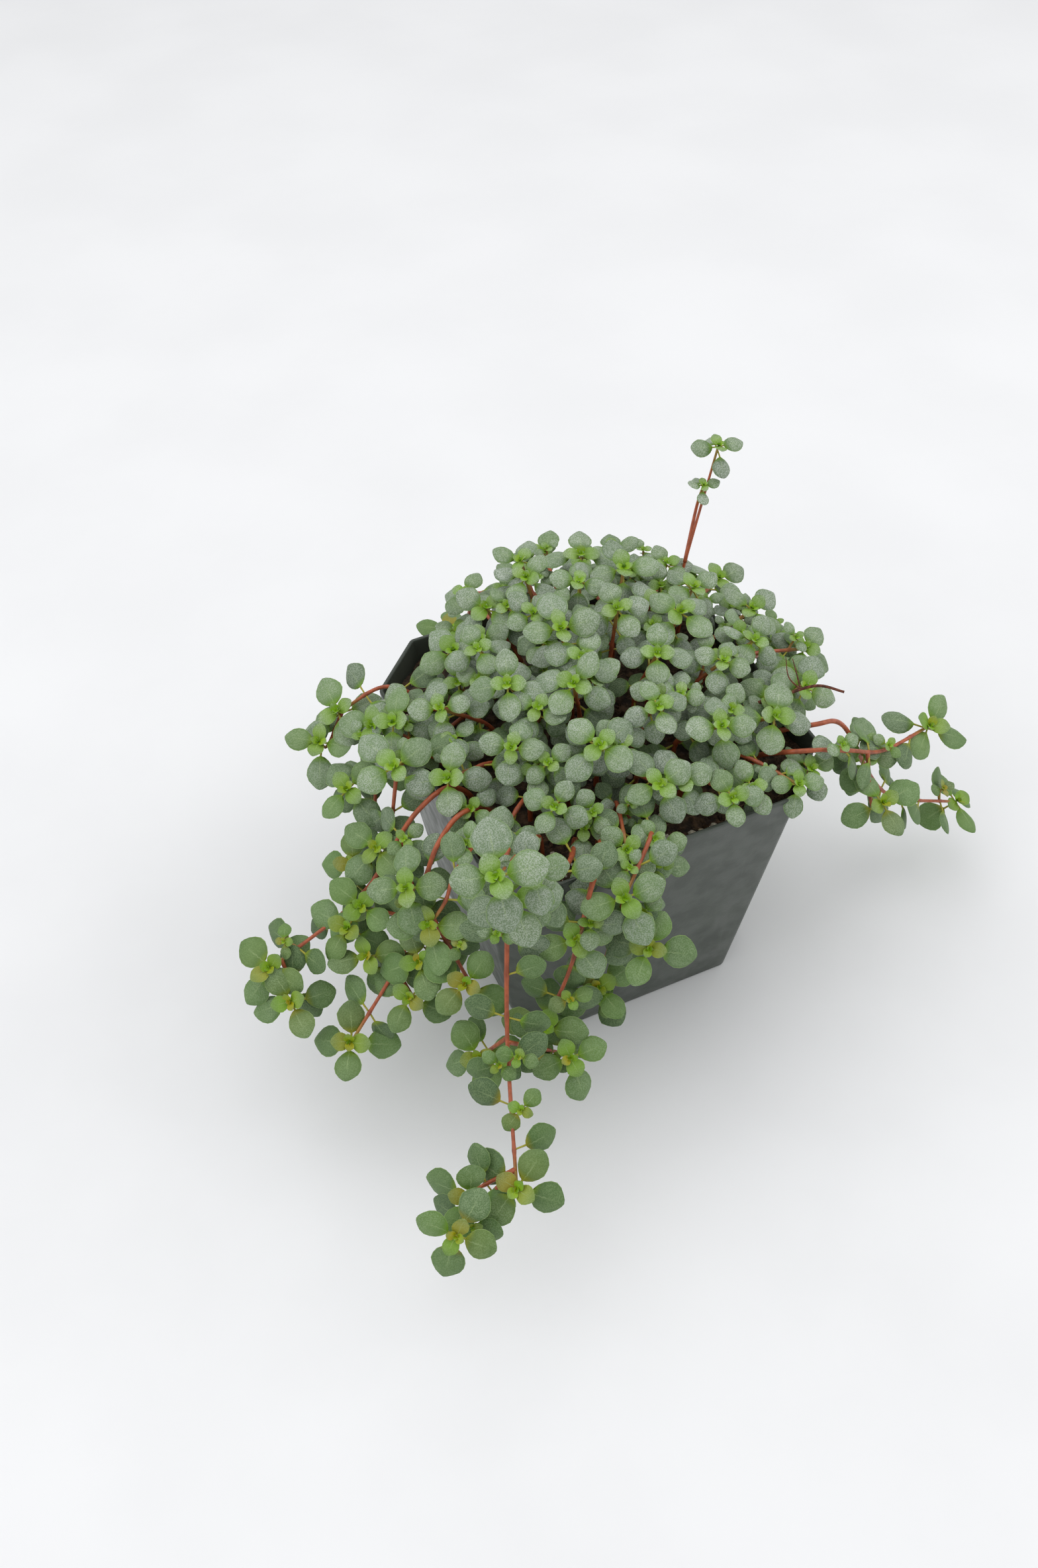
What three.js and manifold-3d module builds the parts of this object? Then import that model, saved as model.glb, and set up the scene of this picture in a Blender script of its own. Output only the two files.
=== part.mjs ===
// A square nursery pot of baby tears: a low crown of silver-green rosettes with shoots trailing over the rim.
// Millimetres, +Z up, with the origin at the centre of the pot's base and the pot's walls square to X and Y.
import * as THREE from 'three';
import { mergeVertices } from 'three/addons/utils/BufferGeometryUtils.js';
import Module from 'manifold-3d';

const wasm = await Module();
wasm.setup();

// Pot: an octagon, which is a square with its corners cut, tapering evenly from the rim to the base.
const POT_HEIGHT = 84;
const RIM_SIDE = 100;
const RIM_CORNER = 15.8;
const BASE_TO_RIM = 0.763;
const WALL = 1.2;
const FLOOR = 1.6;
const DRAIN_RADIUS = 4;
const DRAIN_OFFSET = 20;
const DRAIN_SIDES = 8;

// Soil: it fills the pot to a little under the rim, with a hole for each root.
const SOIL_TOP = 78;
const SOIL_INSET = 1.65;
const ROOT_DEPTH = 5;
const ROOT_RISE = 3;               // a stem stands upright from its root to this far above the soil
const ROOT_HOLE_RADIUS = 2.4;
const ROOT_LIMIT = 42;
const ROOT_DIAGONAL = 68;

// Stems.
const GAP = 0.35;                  // clear space between neighbouring pieces
const LEADER_RADIUS = 0.8;
const BRANCH_RADIUS = 0.55;
const STEM_SIDES = 4;
const STEM_STEP = 9;
const ROOT_DRAW = 0.66;            // a crown shoot's root, as a share of its tip's way out from the middle
const OVERHANG_SIDE = 46;          // a tip further out than these two overhangs the rim
const OVERHANG_DIAGONAL = 78;
const RIM_CLEARANCE_HEIGHT = 89;
const CLIMB_SPREAD = 1.05;
const CROWN_FORKS = [0.45, 0.6, 0.3, 0.72];   // shares of a leader's length that a branch tries, in turn
const TRAILING_FORKS = [-0.04, -0.1, -0.16];  // the same, counted from the point nearest to the branch
const LEAST_FORK = 0.1;
const BRANCH_TURN_UP = 0.35;       // the last share of a branch, which points the way that its rosette faces

// Leaves. Lengths and petioles are shares of a shoot's own leaf length.
const LEAF_THICKNESS = 0.5;
const LEAF_HALF_WIDTH = 0.48;
const WIDEST_AT = 0.45;
const PETIOLE_HALF_WIDTH = 0.55;
const NOTCH_RADIUS = 1;
const WIDE_PAIR = { length: 1, petiole: 0.42 };
const CROSS_PAIR = { length: 0.9, petiole: 0.27 };
const STEM_PAIR = { length: 0.85, petiole: 0.34 };
const LEAF_SHARES = [1, 0.8, 0.62];           // sizes that a crowded leaf tries
const SLANTS = [[0, 0], [0.3, 0], [-0.3, 0], [0, 0.3], [0, -0.3], [0.3, 0.3], [-0.3, -0.3]];
const FIRST_LEAF_NODE = 0.34;      // a trailing stem is bare up to this share of its length
const LEAF_NODE_SPACING = 22;
const LEAF_NODE_TURNS = [-0.4, 0.6];

// The plant leans its leaves towards the light, and outwards from the middle of the pot.
const UP = new THREE.Vector3(0, 0, 1);
const LIGHTWARD = new THREE.Vector3(-0.17, -0.39, 0);
const OUTWARD_LEAN = 0.25 / 60;

// The crown's shoots stand on a sunflower spiral under a dome. Headings are in degrees about the pot's middle.
const GOLDEN_TURN = 137.508;
const CROWN = { shoots: 40, start: 32, middle: [3, 2], reach: 62, level: 87, rise: 27 };
const BARE_CORNER = { heading: 138, spread: 24, depth: 14 };   // where the crown stops short of the rim
const RIPPLE = { height: 2.5, step: 2.4 };     // how far rosettes stand above or below the dome, in turn
const CROWN_LEAF = { length: 7, spread: 1, step: 1.7 };
const PAIR_TURN = 77;                          // how far the widest leaf pair turns from each shoot to the next
const SIDE_ROSETTE = { turn: 110, reach: 9.5, drop: 3, leaf: 0.85, pairTurn: 60 };   // on every other shoot

// Shoots that stand out of the crown: each rosette is [heading, reach, height, leaf length], the leader's first.
const STANDOUTS = [
  [[35, 70, 128, 6], [35, 62, 120, 4]],
  [[229, 88, 118, 9], [233, 80, 112, 7]],
];

// Shoots that spill over the rim. Each crosses it at a heading, and its rosettes are [heading, reach, height],
// the leader's first. The other stems fork from the point of the leader that lies nearest.
const TRAILING_SHOOTS = [
  { crossing: 150, tips: [[155, 70, 85], [160, 75, 80]] },
  { crossing: 165, tips: [[165, 60, 90], [175, 70, 80], [185, 75, 65]] },
  { crossing: 180, tips: [[185, 60, 95], [170, 55, 95], [190, 70, 75]] },
  { crossing: 205, tips: [[205, 100, 40], [195, 80, 65], [200, 85, 55], [210, 85, 50]] },
  { crossing: 195, tips: [[190, 105, 50], [205, 75, 80], [195, 85, 60], [195, 105, 45]] },
  { crossing: 214, tips: [[210, 75, 70], [220, 80, 60], [210, 80, 60]] },
  { crossing: 222, tips: [[235, 120, 40], [225, 90, 45], [230, 135, 40], [240, 85, 45], [230, 125, 40]] },
  { crossing: 237, tips: [[230, 80, 100]] },
  { crossing: 245, tips: [[235, 80, 50], [240, 70, 75]] },
  { crossing: 260, tips: [[250, 65, 85], [255, 70, 70], [245, 70, 55]] },
  { crossing: 315, tips: [[340, 95, 70], [320, 80, 70]] },
  { crossing: 325, tips: [[345, 115, 25], [330, 75, 75]] },
  { crossing: 100, tips: [[100, 75, 60]] },
  { crossing: 50, tips: [[50, 80, 60]] },
  { crossing: 10, tips: [[15, 70, 65]] },
];
const TRAILING_ROOT = 43;                      // how far from the pot's middle they are rooted
const RIM_CROSSING = { inside: 1, height: 90 };
const RIM_SHOULDER = { outside: 8, height: 86, turned: 0.25 };   // where a hanging stem has cleared the rim
const HANG = { out: 0.4, down: 0.62, turned: 0.6 };            // where it has fallen most of the way
const TRAILING_LEAF = { leader: 7.8, branch: 7, pairTurn: 50 };

// The dead stem that still stands among the leaves near the right corner.
const WITHERED_ROUTE = [[30, -15, 85], [40, -25, 95], [50, -30, 100], [55, -35, 100]];
const WITHERED_RADIUS = 0.5;

const finish = (color, roughness) => new THREE.MeshStandardMaterial({ color, roughness, metalness: 0 });
const POT_PLASTIC = finish(0x565c58, 0.45);
const POTTING_SOIL = finish(0x2e241b, 0.95);
const SILVER_LEAF = finish(0x8c9c80, 0.6);
const DEAD_STEM = finish(0x5a3a28, 0.9);

/** A three.js geometry as a closed solid, ready to be joined or cut. */
function toSolid(geometry) {
  const bare = geometry.index ? geometry.toNonIndexed() : geometry.clone();
  bare.deleteAttribute('normal');
  bare.deleteAttribute('uv');
  const merged = mergeVertices(bare, 1e-4);
  return new wasm.Manifold(new wasm.Mesh({
    numProp: 3,
    vertProperties: new Float32Array(merged.attributes.position.array),
    triVerts: new Uint32Array(merged.index.array),
  }));
}

/** A finished solid as a named mesh. */
function toMesh(solid, name, material) {
  const { vertProperties, triVerts } = solid.getMesh();
  const geometry = new THREE.BufferGeometry();
  geometry.setAttribute('position', new THREE.BufferAttribute(vertProperties, 3));
  geometry.setIndex(new THREE.BufferAttribute(triVerts, 1));
  geometry.computeVertexNormals();
  const mesh = new THREE.Mesh(geometry, material);
  mesh.name = name;
  return mesh;
}

/** The box round a solid. */
const boxOf = (solid) => {
  const { min, max } = solid.boundingBox();
  return new THREE.Box3(new THREE.Vector3(...min), new THREE.Vector3(...max));
};

/** The pot's octagon between two heights, drawn in by an inset, with the pot's own taper. */
function potBlock(inset, bottom, top) {
  const side = RIM_SIDE / 2 - inset;
  const cut = side - RIM_CORNER + inset * (2 - Math.SQRT2);
  const outline = new THREE.Shape([
    [side, -cut], [side, cut], [cut, side], [-cut, side],
    [-side, cut], [-side, -cut], [-cut, -side], [cut, -side],
  ].map(([x, y]) => new THREE.Vector2(x, y)));
  const geometry = new THREE.ExtrudeGeometry(outline, { depth: top - bottom, bevelEnabled: false });
  geometry.translate(0, 0, bottom);
  const position = geometry.attributes.position;
  for (let i = 0; i < position.count; i += 1) {
    const share = BASE_TO_RIM + (1 - BASE_TO_RIM) * (position.getZ(i) / POT_HEIGHT);
    position.setXY(i, position.getX(i) * share, position.getY(i) * share);
  }
  return toSolid(geometry);
}

/** An upright round bar, for cutting a hole. */
function bar(x, y, bottom, top, radius, sides) {
  const geometry = new THREE.CylinderGeometry(radius, radius, top - bottom, sides);
  geometry.rotateX(Math.PI / 2);
  geometry.translate(x, y, (bottom + top) / 2);
  return toSolid(geometry);
}

/** The pot: its walls and floor, with a drain hole near each corner of the floor. */
function buildPot() {
  let pot = potBlock(0, 0, POT_HEIGHT).subtract(potBlock(WALL, FLOOR, POT_HEIGHT + 1));
  for (const x of [-DRAIN_OFFSET, DRAIN_OFFSET]) {
    for (const y of [-DRAIN_OFFSET, DRAIN_OFFSET]) {
      pot = pot.subtract(bar(x, y, -1, FLOOR + 1, DRAIN_RADIUS, DRAIN_SIDES));
    }
  }
  return pot;
}

/** The soil, with a hole for each shoot's root. */
function buildSoil(roots) {
  const holes = roots.map(([x, y]) => (
    bar(x, y, SOIL_TOP - ROOT_DEPTH - 1, SOIL_TOP + 1, ROOT_HOLE_RADIUS, STEM_SIDES)
  ));
  return potBlock(SOIL_INSET, FLOOR + GAP, SOIL_TOP).subtract(wasm.Manifold.union(holes));
}

/** The number of straight steps that a stem takes along its curve. */
const stepsAlong = (curve) => Math.max(2, Math.round(curve.getLength() / STEM_STEP));

/** The share along a curve moved to the nearest joint of two steps, where the stem is truly on its curve. */
const atStep = (curve, share) => Math.max(1, Math.round(share * stepsAlong(curve))) / stepsAlong(curve);

/** A stem along a curve. */
function stemSolid(curve, radius) {
  const section = new THREE.Shape();
  for (let i = 0; i < STEM_SIDES; i += 1) {
    const angle = (2 * Math.PI * i) / STEM_SIDES;
    section[i ? 'lineTo' : 'moveTo'](radius * Math.cos(angle), radius * Math.sin(angle));
  }
  const steps = stepsAlong(curve);
  return toSolid(new THREE.ExtrudeGeometry(section, { steps, bevelEnabled: false, extrudePath: curve }));
}

/** The right-handed frame whose Z is face and whose X is the way nearest to heading. */
function leafFrame(base, heading, face) {
  const out = heading.clone().projectOnPlane(face).normalize();
  const across = new THREE.Vector3().crossVectors(face, out);
  return new THREE.Matrix4().makeBasis(out, across, face).setPosition(base);
}

/** One leaf's outline on its petiole, turned about the stem, and swelled all round by grow. */
function leafOutline({ turn, length, petiole }, grow) {
  const half = LEAF_HALF_WIDTH * length + grow;
  const widest = petiole + WIDEST_AT * length;
  return [
    [0, -PETIOLE_HALF_WIDTH - grow],
    [widest, -half],
    [petiole + length + grow, 0],
    [widest, half],
    [0, PETIOLE_HALF_WIDTH + grow],
  ].map(([x, y]) => new THREE.Vector2(x, y).rotateAround(new THREE.Vector2(), turn));
}

/** An outline in the plane of the leaves, as a thin plate. */
function plate(points, frame, grow) {
  const depth = LEAF_THICKNESS + 2 * grow;
  const geometry = new THREE.ExtrudeGeometry(new THREE.Shape(points), { depth, bevelEnabled: false });
  geometry.translate(0, 0, -depth / 2);
  geometry.applyMatrix4(frame);
  return toSolid(geometry);
}

/** All the leaves at one point of a stem, joined round it as one plate with a notch between each two. */
function leafPlate(leaves, frame) {
  const points = leaves.flatMap((leaf, i) => {
    const next = leaves[(i + 1) % leaves.length];
    const gap = THREE.MathUtils.euclideanModulo(next.turn - leaf.turn, 2 * Math.PI) || 2 * Math.PI;
    const notch = new THREE.Vector2(NOTCH_RADIUS, 0).rotateAround(new THREE.Vector2(), leaf.turn + gap / 2);
    return [...leafOutline(leaf, 0).slice(1, 4), notch];
  });
  return plate(points, frame, 0);
}

/** The point at a heading, a reach from the pot's middle and a height. */
function polar(heading, reach, height) {
  const angle = THREE.MathUtils.degToRad(heading);
  return [reach * Math.cos(angle), reach * Math.sin(angle), height];
}

/** How far the rim is from the pot's middle at a heading: the nearest of its eight sides. */
function rimReach(heading) {
  const sides = Array.from({ length: 8 }, (_, k) => {
    const away = k % 2 ? (RIM_SIDE - RIM_CORNER) / Math.SQRT2 : RIM_SIDE / 2;
    const [cosine] = polar(heading - 45 * k, 1, 0);
    return cosine > 0 ? away / cosine : Infinity;
  });
  return Math.min(...sides);
}

/** How far the crown reaches at a heading. */
function crownReach(heading) {
  const off = THREE.MathUtils.euclideanModulo(heading - BARE_CORNER.heading + 180, 360) - 180;
  return CROWN.reach - BARE_CORNER.depth * Math.exp(-((off / BARE_CORNER.spread) ** 2));
}

/** The rosettes of a crown shoot on the spiral, each as [x, y, z, heading of its widest pair, leaf length]. */
function spiralTips(i) {
  const heading = CROWN.start + GOLDEN_TURN * i;
  const spread = Math.sqrt((i + 0.5) / CROWN.shoots);
  const [east, north] = polar(heading, spread * crownReach(heading), 0);
  const [x, y] = [CROWN.middle[0] + east, CROWN.middle[1] + north];
  const z = CROWN.level + CROWN.rise * (1 - spread * spread) + RIPPLE.height * Math.sin(RIPPLE.step * i);
  const leaf = CROWN_LEAF.length + CROWN_LEAF.spread * Math.sin(CROWN_LEAF.step * i);
  const turn = PAIR_TURN * i;
  if (i % 2 === 0) {
    return [[x, y, z, turn, leaf]];
  }
  const [aside, ahead] = polar(heading + SIDE_ROSETTE.turn, SIDE_ROSETTE.reach, 0);
  const { drop, pairTurn, leaf: share } = SIDE_ROSETTE;
  return [[x, y, z, turn, leaf], [x + aside, y + ahead, z - drop, turn + pairTurn, leaf * share]];
}

/** The rosettes of a shoot that stands out of the crown, in the same form. */
function standoutTips(rows) {
  return rows.map(([heading, reach, height, leaf]) => [...polar(heading, reach, height), PAIR_TURN, leaf]);
}

/** The points that a trailing leader passes: over the rim, and where it hangs, past its shoulder and down. */
function drape(crossing, [heading, reach, height]) {
  const turned = (share) => crossing + share * (heading - crossing);
  const over = polar(crossing, rimReach(crossing) - RIM_CROSSING.inside, RIM_CROSSING.height);
  if (height >= POT_HEIGHT) {
    return [over];
  }
  const shoulder = rimReach(turned(RIM_SHOULDER.turned)) + RIM_SHOULDER.outside;
  return [
    over,
    polar(turned(RIM_SHOULDER.turned), shoulder, RIM_SHOULDER.height),
    polar(
      turned(HANG.turned),
      shoulder + HANG.out * (reach - shoulder),
      RIM_SHOULDER.height - HANG.down * (RIM_SHOULDER.height - height),
    ),
  ];
}

/** Which way a rosette at this place faces. */
function facing(point) {
  return new THREE.Vector3(point.x, point.y, 0).multiplyScalar(OUTWARD_LEAN)
    .add(UP).add(LIGHTWARD).normalize();
}

/** Where a crown shoot is rooted, drawn in from its tip and kept inside the soil. */
function rootUnder(tip) {
  let x = THREE.MathUtils.clamp(tip[0] * ROOT_DRAW, -ROOT_LIMIT, ROOT_LIMIT);
  let y = THREE.MathUtils.clamp(tip[1] * ROOT_DRAW, -ROOT_LIMIT, ROOT_LIMIT);
  const spread = Math.abs(x) + Math.abs(y);
  if (spread > ROOT_DIAGONAL) {
    x *= ROOT_DIAGONAL / spread;
    y *= ROOT_DIAGONAL / spread;
  }
  return [x, y];
}

/** The point that a crown shoot climbs to first: over the rim where its tip overhangs it, else partway up. */
function climb([x, y], tip) {
  const overhangs = Math.max(Math.abs(tip[0]), Math.abs(tip[1])) > OVERHANG_SIDE
    || Math.abs(tip[0]) + Math.abs(tip[1]) > OVERHANG_DIAGONAL;
  return overhangs
    ? [CLIMB_SPREAD * x, CLIMB_SPREAD * y, RIM_CLEARANCE_HEIGHT]
    : [CLIMB_SPREAD * x, CLIMB_SPREAD * y, (SOIL_TOP + tip[2]) / 2];
}

/** A stem's curve from the soil through its via points to its rosette. */
function leaderCurve([x, y], via, tip) {
  const points = [[x, y, SOIL_TOP - ROOT_DEPTH], [x, y, SOIL_TOP + ROOT_RISE], ...via, tip.slice(0, 3)];
  return new THREE.CatmullRomCurve3(points.map((p) => new THREE.Vector3(...p)), false, 'centripetal');
}

/** A branch's curve from its fork on the leader to its own rosette. */
function branchCurve(leader, share, via, tip) {
  const end = new THREE.Vector3(...tip.slice(0, 3));
  const fork = leader.getPointAt(atStep(leader, share));
  const reach = fork.distanceTo(end);
  const points = via.map((p) => new THREE.Vector3(...p));
  if (!via.length) {
    points.push(end.clone().addScaledVector(facing(end), -BRANCH_TURN_UP * reach));
  }
  return new THREE.CatmullRomCurve3([fork, ...points, end], false, 'centripetal');
}

/** The share along a curve of its nearest point to a place. */
function nearestShare(curve, place) {
  let best = 0;
  let least = Infinity;
  for (let i = 10; i <= 96; i += 1) {
    const distance = curve.getPointAt(i / 100).distanceTo(place);
    if (distance < least) {
      least = distance;
      best = i / 100;
    }
  }
  return best;
}

// Everything placed so far, so that a new branch or leaf can be kept clear of its neighbours.
const placed = [];

/** Puts a solid among those placed, and gives it back. */
function place(solid, owner) {
  placed.push({ solid, owner, box: boxOf(solid) });
  return solid;
}

/** Whether a swelled solid stays clear of everything that belongs to another piece. */
function isClear(swelled, owner) {
  const box = boxOf(swelled);
  return !placed.some((other) => (
    other.owner !== owner && other.box.intersectsBox(box) && swelled.intersect(other.solid).volume() > 0
  ));
}

/** An opposite pair of leaves, turned about the stem. */
function leafPair(pair, leaf, turn) {
  const size = { length: pair.length * leaf, petiole: pair.petiole * leaf };
  return [{ turn, ...size }, { turn: turn + Math.PI, ...size }];
}

/** Leaves that find room at one point of a stem, each as large as its neighbours allow. */
function leavesWithRoom(owner, frame, wished) {
  return wished.flatMap(({ turn, length, petiole }) => {
    const sizes = LEAF_SHARES.map((share) => ({ turn, length: length * share, petiole: petiole * share }));
    const fitting = sizes.find((size) => isClear(plate(leafOutline(size, GAP), frame, GAP), owner));
    return fitting ? [fitting] : [];
  });
}

/** Grows a ring of leaves about a stem, in the first of a few slants that leaves room for most of them. */
function growLeaves(shoot, base, turn, face, wished) {
  const heading = new THREE.Vector3(Math.cos(turn), Math.sin(turn), 0);
  const sideways = new THREE.Vector3(-Math.sin(turn), Math.cos(turn), 0);
  let best = { leaves: [] };
  for (const [ahead, aside] of SLANTS) {
    const slanted = face.clone().addScaledVector(heading, ahead).addScaledVector(sideways, aside);
    const frame = leafFrame(base, heading, slanted.normalize());
    const leaves = leavesWithRoom(shoot.name, frame, wished);
    if (leaves.length > best.leaves.length) {
      best = { leaves, frame };
    }
    if (leaves.length === wished.length) {
      break;
    }
  }
  if (best.leaves.length > 1) {
    shoot.parts.push(place(leafPlate(best.leaves, best.frame), shoot.name));
  }
}

/** A rosette at a stem's tip: its widest pair, and a smaller pair square to it. */
function growRosette(shoot, [x, y, z, degrees, leaf]) {
  const end = new THREE.Vector3(x, y, z);
  const [east, west] = leafPair(WIDE_PAIR, leaf, 0);
  const [north, south] = leafPair(CROSS_PAIR, leaf, Math.PI / 2);
  growLeaves(shoot, end, THREE.MathUtils.degToRad(degrees), facing(end), [east, north, west, south]);
}

/** Leaf pairs along a trailing stem, each turned from the last. */
function growLeafNodes(shoot) {
  const leaf = shoot.tips[0][4];
  const length = shoot.leader.getLength();
  const count = Math.floor((length * (1 - FIRST_LEAF_NODE)) / LEAF_NODE_SPACING);
  for (let i = 0; i < count; i += 1) {
    const share = atStep(shoot.leader, FIRST_LEAF_NODE + (i * LEAF_NODE_SPACING) / length);
    const point = shoot.leader.getPointAt(share);
    const across = new THREE.Vector3().crossVectors(shoot.leader.getTangentAt(share), UP);
    const turn = Math.atan2(across.y, across.x) + LEAF_NODE_TURNS[i % LEAF_NODE_TURNS.length];
    growLeaves(shoot, point, turn, facing(point), leafPair(STEM_PAIR, leaf, 0));
  }
}

/** The crown's and the trailing shoots in one form: a name, a root and stems, with the leader first. */
function listShoots() {
  const label = (kind, i) => `${kind}_shoot_${String(i + 1).padStart(2, '0')}`;
  const spiral = Array.from({ length: CROWN.shoots }, (_, i) => spiralTips(i));
  const crown = [...spiral, ...STANDOUTS.map(standoutTips)].map((tips, i) => {
    const root = rootUnder(tips[0]);
    const stems = tips.map((tip, k) => ({ via: k ? [] : [climb(root, tip)], tip }));
    return { name: label('crown', i), root, stems };
  });
  const trailing = TRAILING_SHOOTS.map(({ crossing, tips }, i) => {
    const [x, y] = polar(crossing, TRAILING_ROOT, SOIL_TOP);
    const { leader, branch, pairTurn } = TRAILING_LEAF;
    const stems = tips.map((tip, k) => ({
      via: k ? [] : drape(crossing, tip),
      tip: [...polar(...tip), pairTurn * (i + k), k ? branch : leader],
    }));
    return { name: label('trailing', i), root: [x, y], stems, trails: true };
  });
  return [...crown, ...trailing];
}

/** A branch at the first fork that keeps it clear of its neighbours. */
function growBranch(shoot, stem) {
  const [first] = [...stem.via, stem.tip];
  const nearest = nearestShare(shoot.leader, new THREE.Vector3(...first.slice(0, 3)));
  const shares = shoot.trails ? TRAILING_FORKS.map((back) => nearest + back) : CROWN_FORKS;
  for (const share of shares) {
    const curve = branchCurve(shoot.leader, Math.max(LEAST_FORK, share), stem.via, stem.tip);
    if (isClear(stemSolid(curve, BRANCH_RADIUS + GAP), shoot.name)) {
      shoot.parts.push(place(stemSolid(curve, BRANCH_RADIUS), shoot.name));
      shoot.tips.push(stem.tip);
      return;
    }
  }
}

/** The dead stem, which has no leaves. */
function buildWitheredStem() {
  const curve = new THREE.CatmullRomCurve3(WITHERED_ROUTE.map((p) => new THREE.Vector3(...p)));
  return stemSolid(curve, WITHERED_RADIUS);
}

const shoots = listShoots();
const pot = place(buildPot(), 'pot');
const soil = place(buildSoil(shoots.map((shoot) => shoot.root)), 'soil');
for (const shoot of shoots) {
  shoot.leader = leaderCurve(shoot.root, shoot.stems[0].via, shoot.stems[0].tip);
  shoot.parts = [place(stemSolid(shoot.leader, LEADER_RADIUS), shoot.name)];
  shoot.tips = [shoot.stems[0].tip];
}
const withered = place(buildWitheredStem(), 'withered_stem');
for (const shoot of shoots) {
  shoot.stems.slice(1).forEach((stem) => growBranch(shoot, stem));
}
for (const shoot of shoots) {
  shoot.tips.forEach((tip) => growRosette(shoot, tip));
}
shoots.filter((each) => each.trails).forEach(growLeafNodes);

const group = new THREE.Group();
group.add(toMesh(pot, 'pot', POT_PLASTIC));
group.add(toMesh(soil, 'soil', POTTING_SOIL));
for (const shoot of shoots) {
  group.add(toMesh(wasm.Manifold.union(shoot.parts), shoot.name, SILVER_LEAF));
}
group.add(toMesh(withered, 'withered_stem', DEAD_STEM));

export default group;
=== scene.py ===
"""A square nursery pot of baby tears: a silver-green crown with shoots trailing over the rim.

The plant's lists are in millimetres, with headings in degrees, in the pot's own frame: +Z up, origin at the
centre of the pot's base.
"""

import logging
import math
from dataclasses import dataclass, field, replace
from enum import Enum
from typing import Sequence

import bpy
import numpy as np
from mathutils import Matrix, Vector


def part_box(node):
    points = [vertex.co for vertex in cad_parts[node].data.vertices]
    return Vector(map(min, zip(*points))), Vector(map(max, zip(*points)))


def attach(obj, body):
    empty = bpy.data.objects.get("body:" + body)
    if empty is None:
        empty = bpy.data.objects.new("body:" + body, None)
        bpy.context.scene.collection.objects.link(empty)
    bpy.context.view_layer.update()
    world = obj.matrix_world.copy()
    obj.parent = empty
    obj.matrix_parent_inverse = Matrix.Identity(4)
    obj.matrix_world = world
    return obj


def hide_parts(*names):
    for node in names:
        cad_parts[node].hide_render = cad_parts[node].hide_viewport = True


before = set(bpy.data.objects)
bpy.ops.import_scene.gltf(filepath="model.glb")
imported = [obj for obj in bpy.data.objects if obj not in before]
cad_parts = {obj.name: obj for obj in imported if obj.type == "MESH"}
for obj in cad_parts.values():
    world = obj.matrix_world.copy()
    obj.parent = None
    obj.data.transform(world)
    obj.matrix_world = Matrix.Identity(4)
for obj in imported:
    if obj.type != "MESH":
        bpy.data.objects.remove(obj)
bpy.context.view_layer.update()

Array = np.ndarray
Colour = tuple[float, float, float]

log = logging.getLogger("baby_tears")

MM = 0.001
UP = np.array([0.0, 0.0, 1.0])

# The pot, as in the CAD source: what is cut off each corner, and its base's width as a share of its rim's.
POT_CORNER = 15.8
POT_BASE_SHARE = 0.763

# How the plant grows, as in the CAD source.
SOIL_TOP = 78.0
ROOT_DEPTH = 5.0
ROOT_RISE = 3.0
ROOT_LIMIT = 42.0
ROOT_DIAGONAL = 68.0
ROOT_DRAW = 0.66
OVERHANG_SIDE = 46.0
OVERHANG_DIAGONAL = 78.0
RIM_CLEARANCE_HEIGHT = 89.0
CLIMB_SPREAD = 1.05
CROWN_FORK = 0.45
TRAILING_FORK = -0.04
LEAST_FORK = 0.1
BRANCH_TURN_UP = 0.35
LIGHTWARD = np.array([-0.17, -0.39, 0.0])
OUTWARD_LEAN = 0.25 / 60
TALL = 115.0                       # a crown shoot over this height is bare below its rosettes

BRANCH_RADIUS = 0.6
BRANCH_TIP_RADIUS = 0.38
SPRIG_RADIUS = 0.5
SPRIG_DROP = 4.0                   # a side sprig leaves its shoot at least this far below its own rosette
TRAILING_SEED = 100                # the first trailing shoot's seed; the crown's start at 0
LEAF_SEED = 1000                   # what a shoot's leaves add to its seed

GOLDEN_TURN = 137.508
PAIR_TURN = 77.0                   # how far the widest leaf pair turns from each crown shoot to the next

# Where perlite lies: each bed's x, y, spread and number of grains.
PERLITE_BEDS: list[list[float]] = [[-43, 27, 10, 26], [-36, -38, 14, 16], [0, -43, 26, 26], [0, 0, 42, 50]]

# Shoots that stand out of the crown: each rosette is [heading, reach, height, leaf length], and the leader's
# comes first.
STANDOUTS: list[list[list[float]]] = [
    [[35, 70, 128, 6], [35, 62, 120, 4]],
    [[229, 88, 118, 9], [233, 80, 112, 7]],
]

# Shoots that spill over the rim: the heading at which each crosses it, and its rosettes as
# [heading, reach, height], the leader's first.
TRAILING_SHOOTS: list[tuple[float, list[list[float]]]] = [
    (150, [[155, 70, 85], [160, 75, 80]]),
    (165, [[165, 60, 90], [175, 70, 80], [185, 75, 65]]),
    (180, [[185, 60, 95], [170, 55, 95], [190, 70, 75]]),
    (205, [[205, 100, 40], [195, 80, 65], [200, 85, 55], [210, 85, 50]]),
    (195, [[190, 105, 50], [205, 75, 80], [195, 85, 60], [195, 105, 45]]),
    (214, [[210, 75, 70], [220, 80, 60], [210, 80, 60]]),
    (222, [[235, 120, 40], [225, 90, 45], [230, 135, 40], [240, 85, 45], [230, 125, 40]]),
    (237, [[230, 80, 100]]),
    (245, [[235, 80, 50], [240, 70, 75]]),
    (260, [[250, 65, 85], [255, 70, 70], [245, 70, 55]]),
    (315, [[340, 95, 70], [320, 80, 70]]),
    (325, [[345, 115, 25], [330, 75, 75]]),
    (100, [[100, 75, 60]]),
    (50, [[50, 80, 60]]),
    (10, [[15, 70, 65]]),
]

# The dead stem among the leaves near the right corner.
WITHERED_ROUTE = [[30, -15, 85], [40, -25, 95], [50, -30, 100], [55, -35, 100]]


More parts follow.
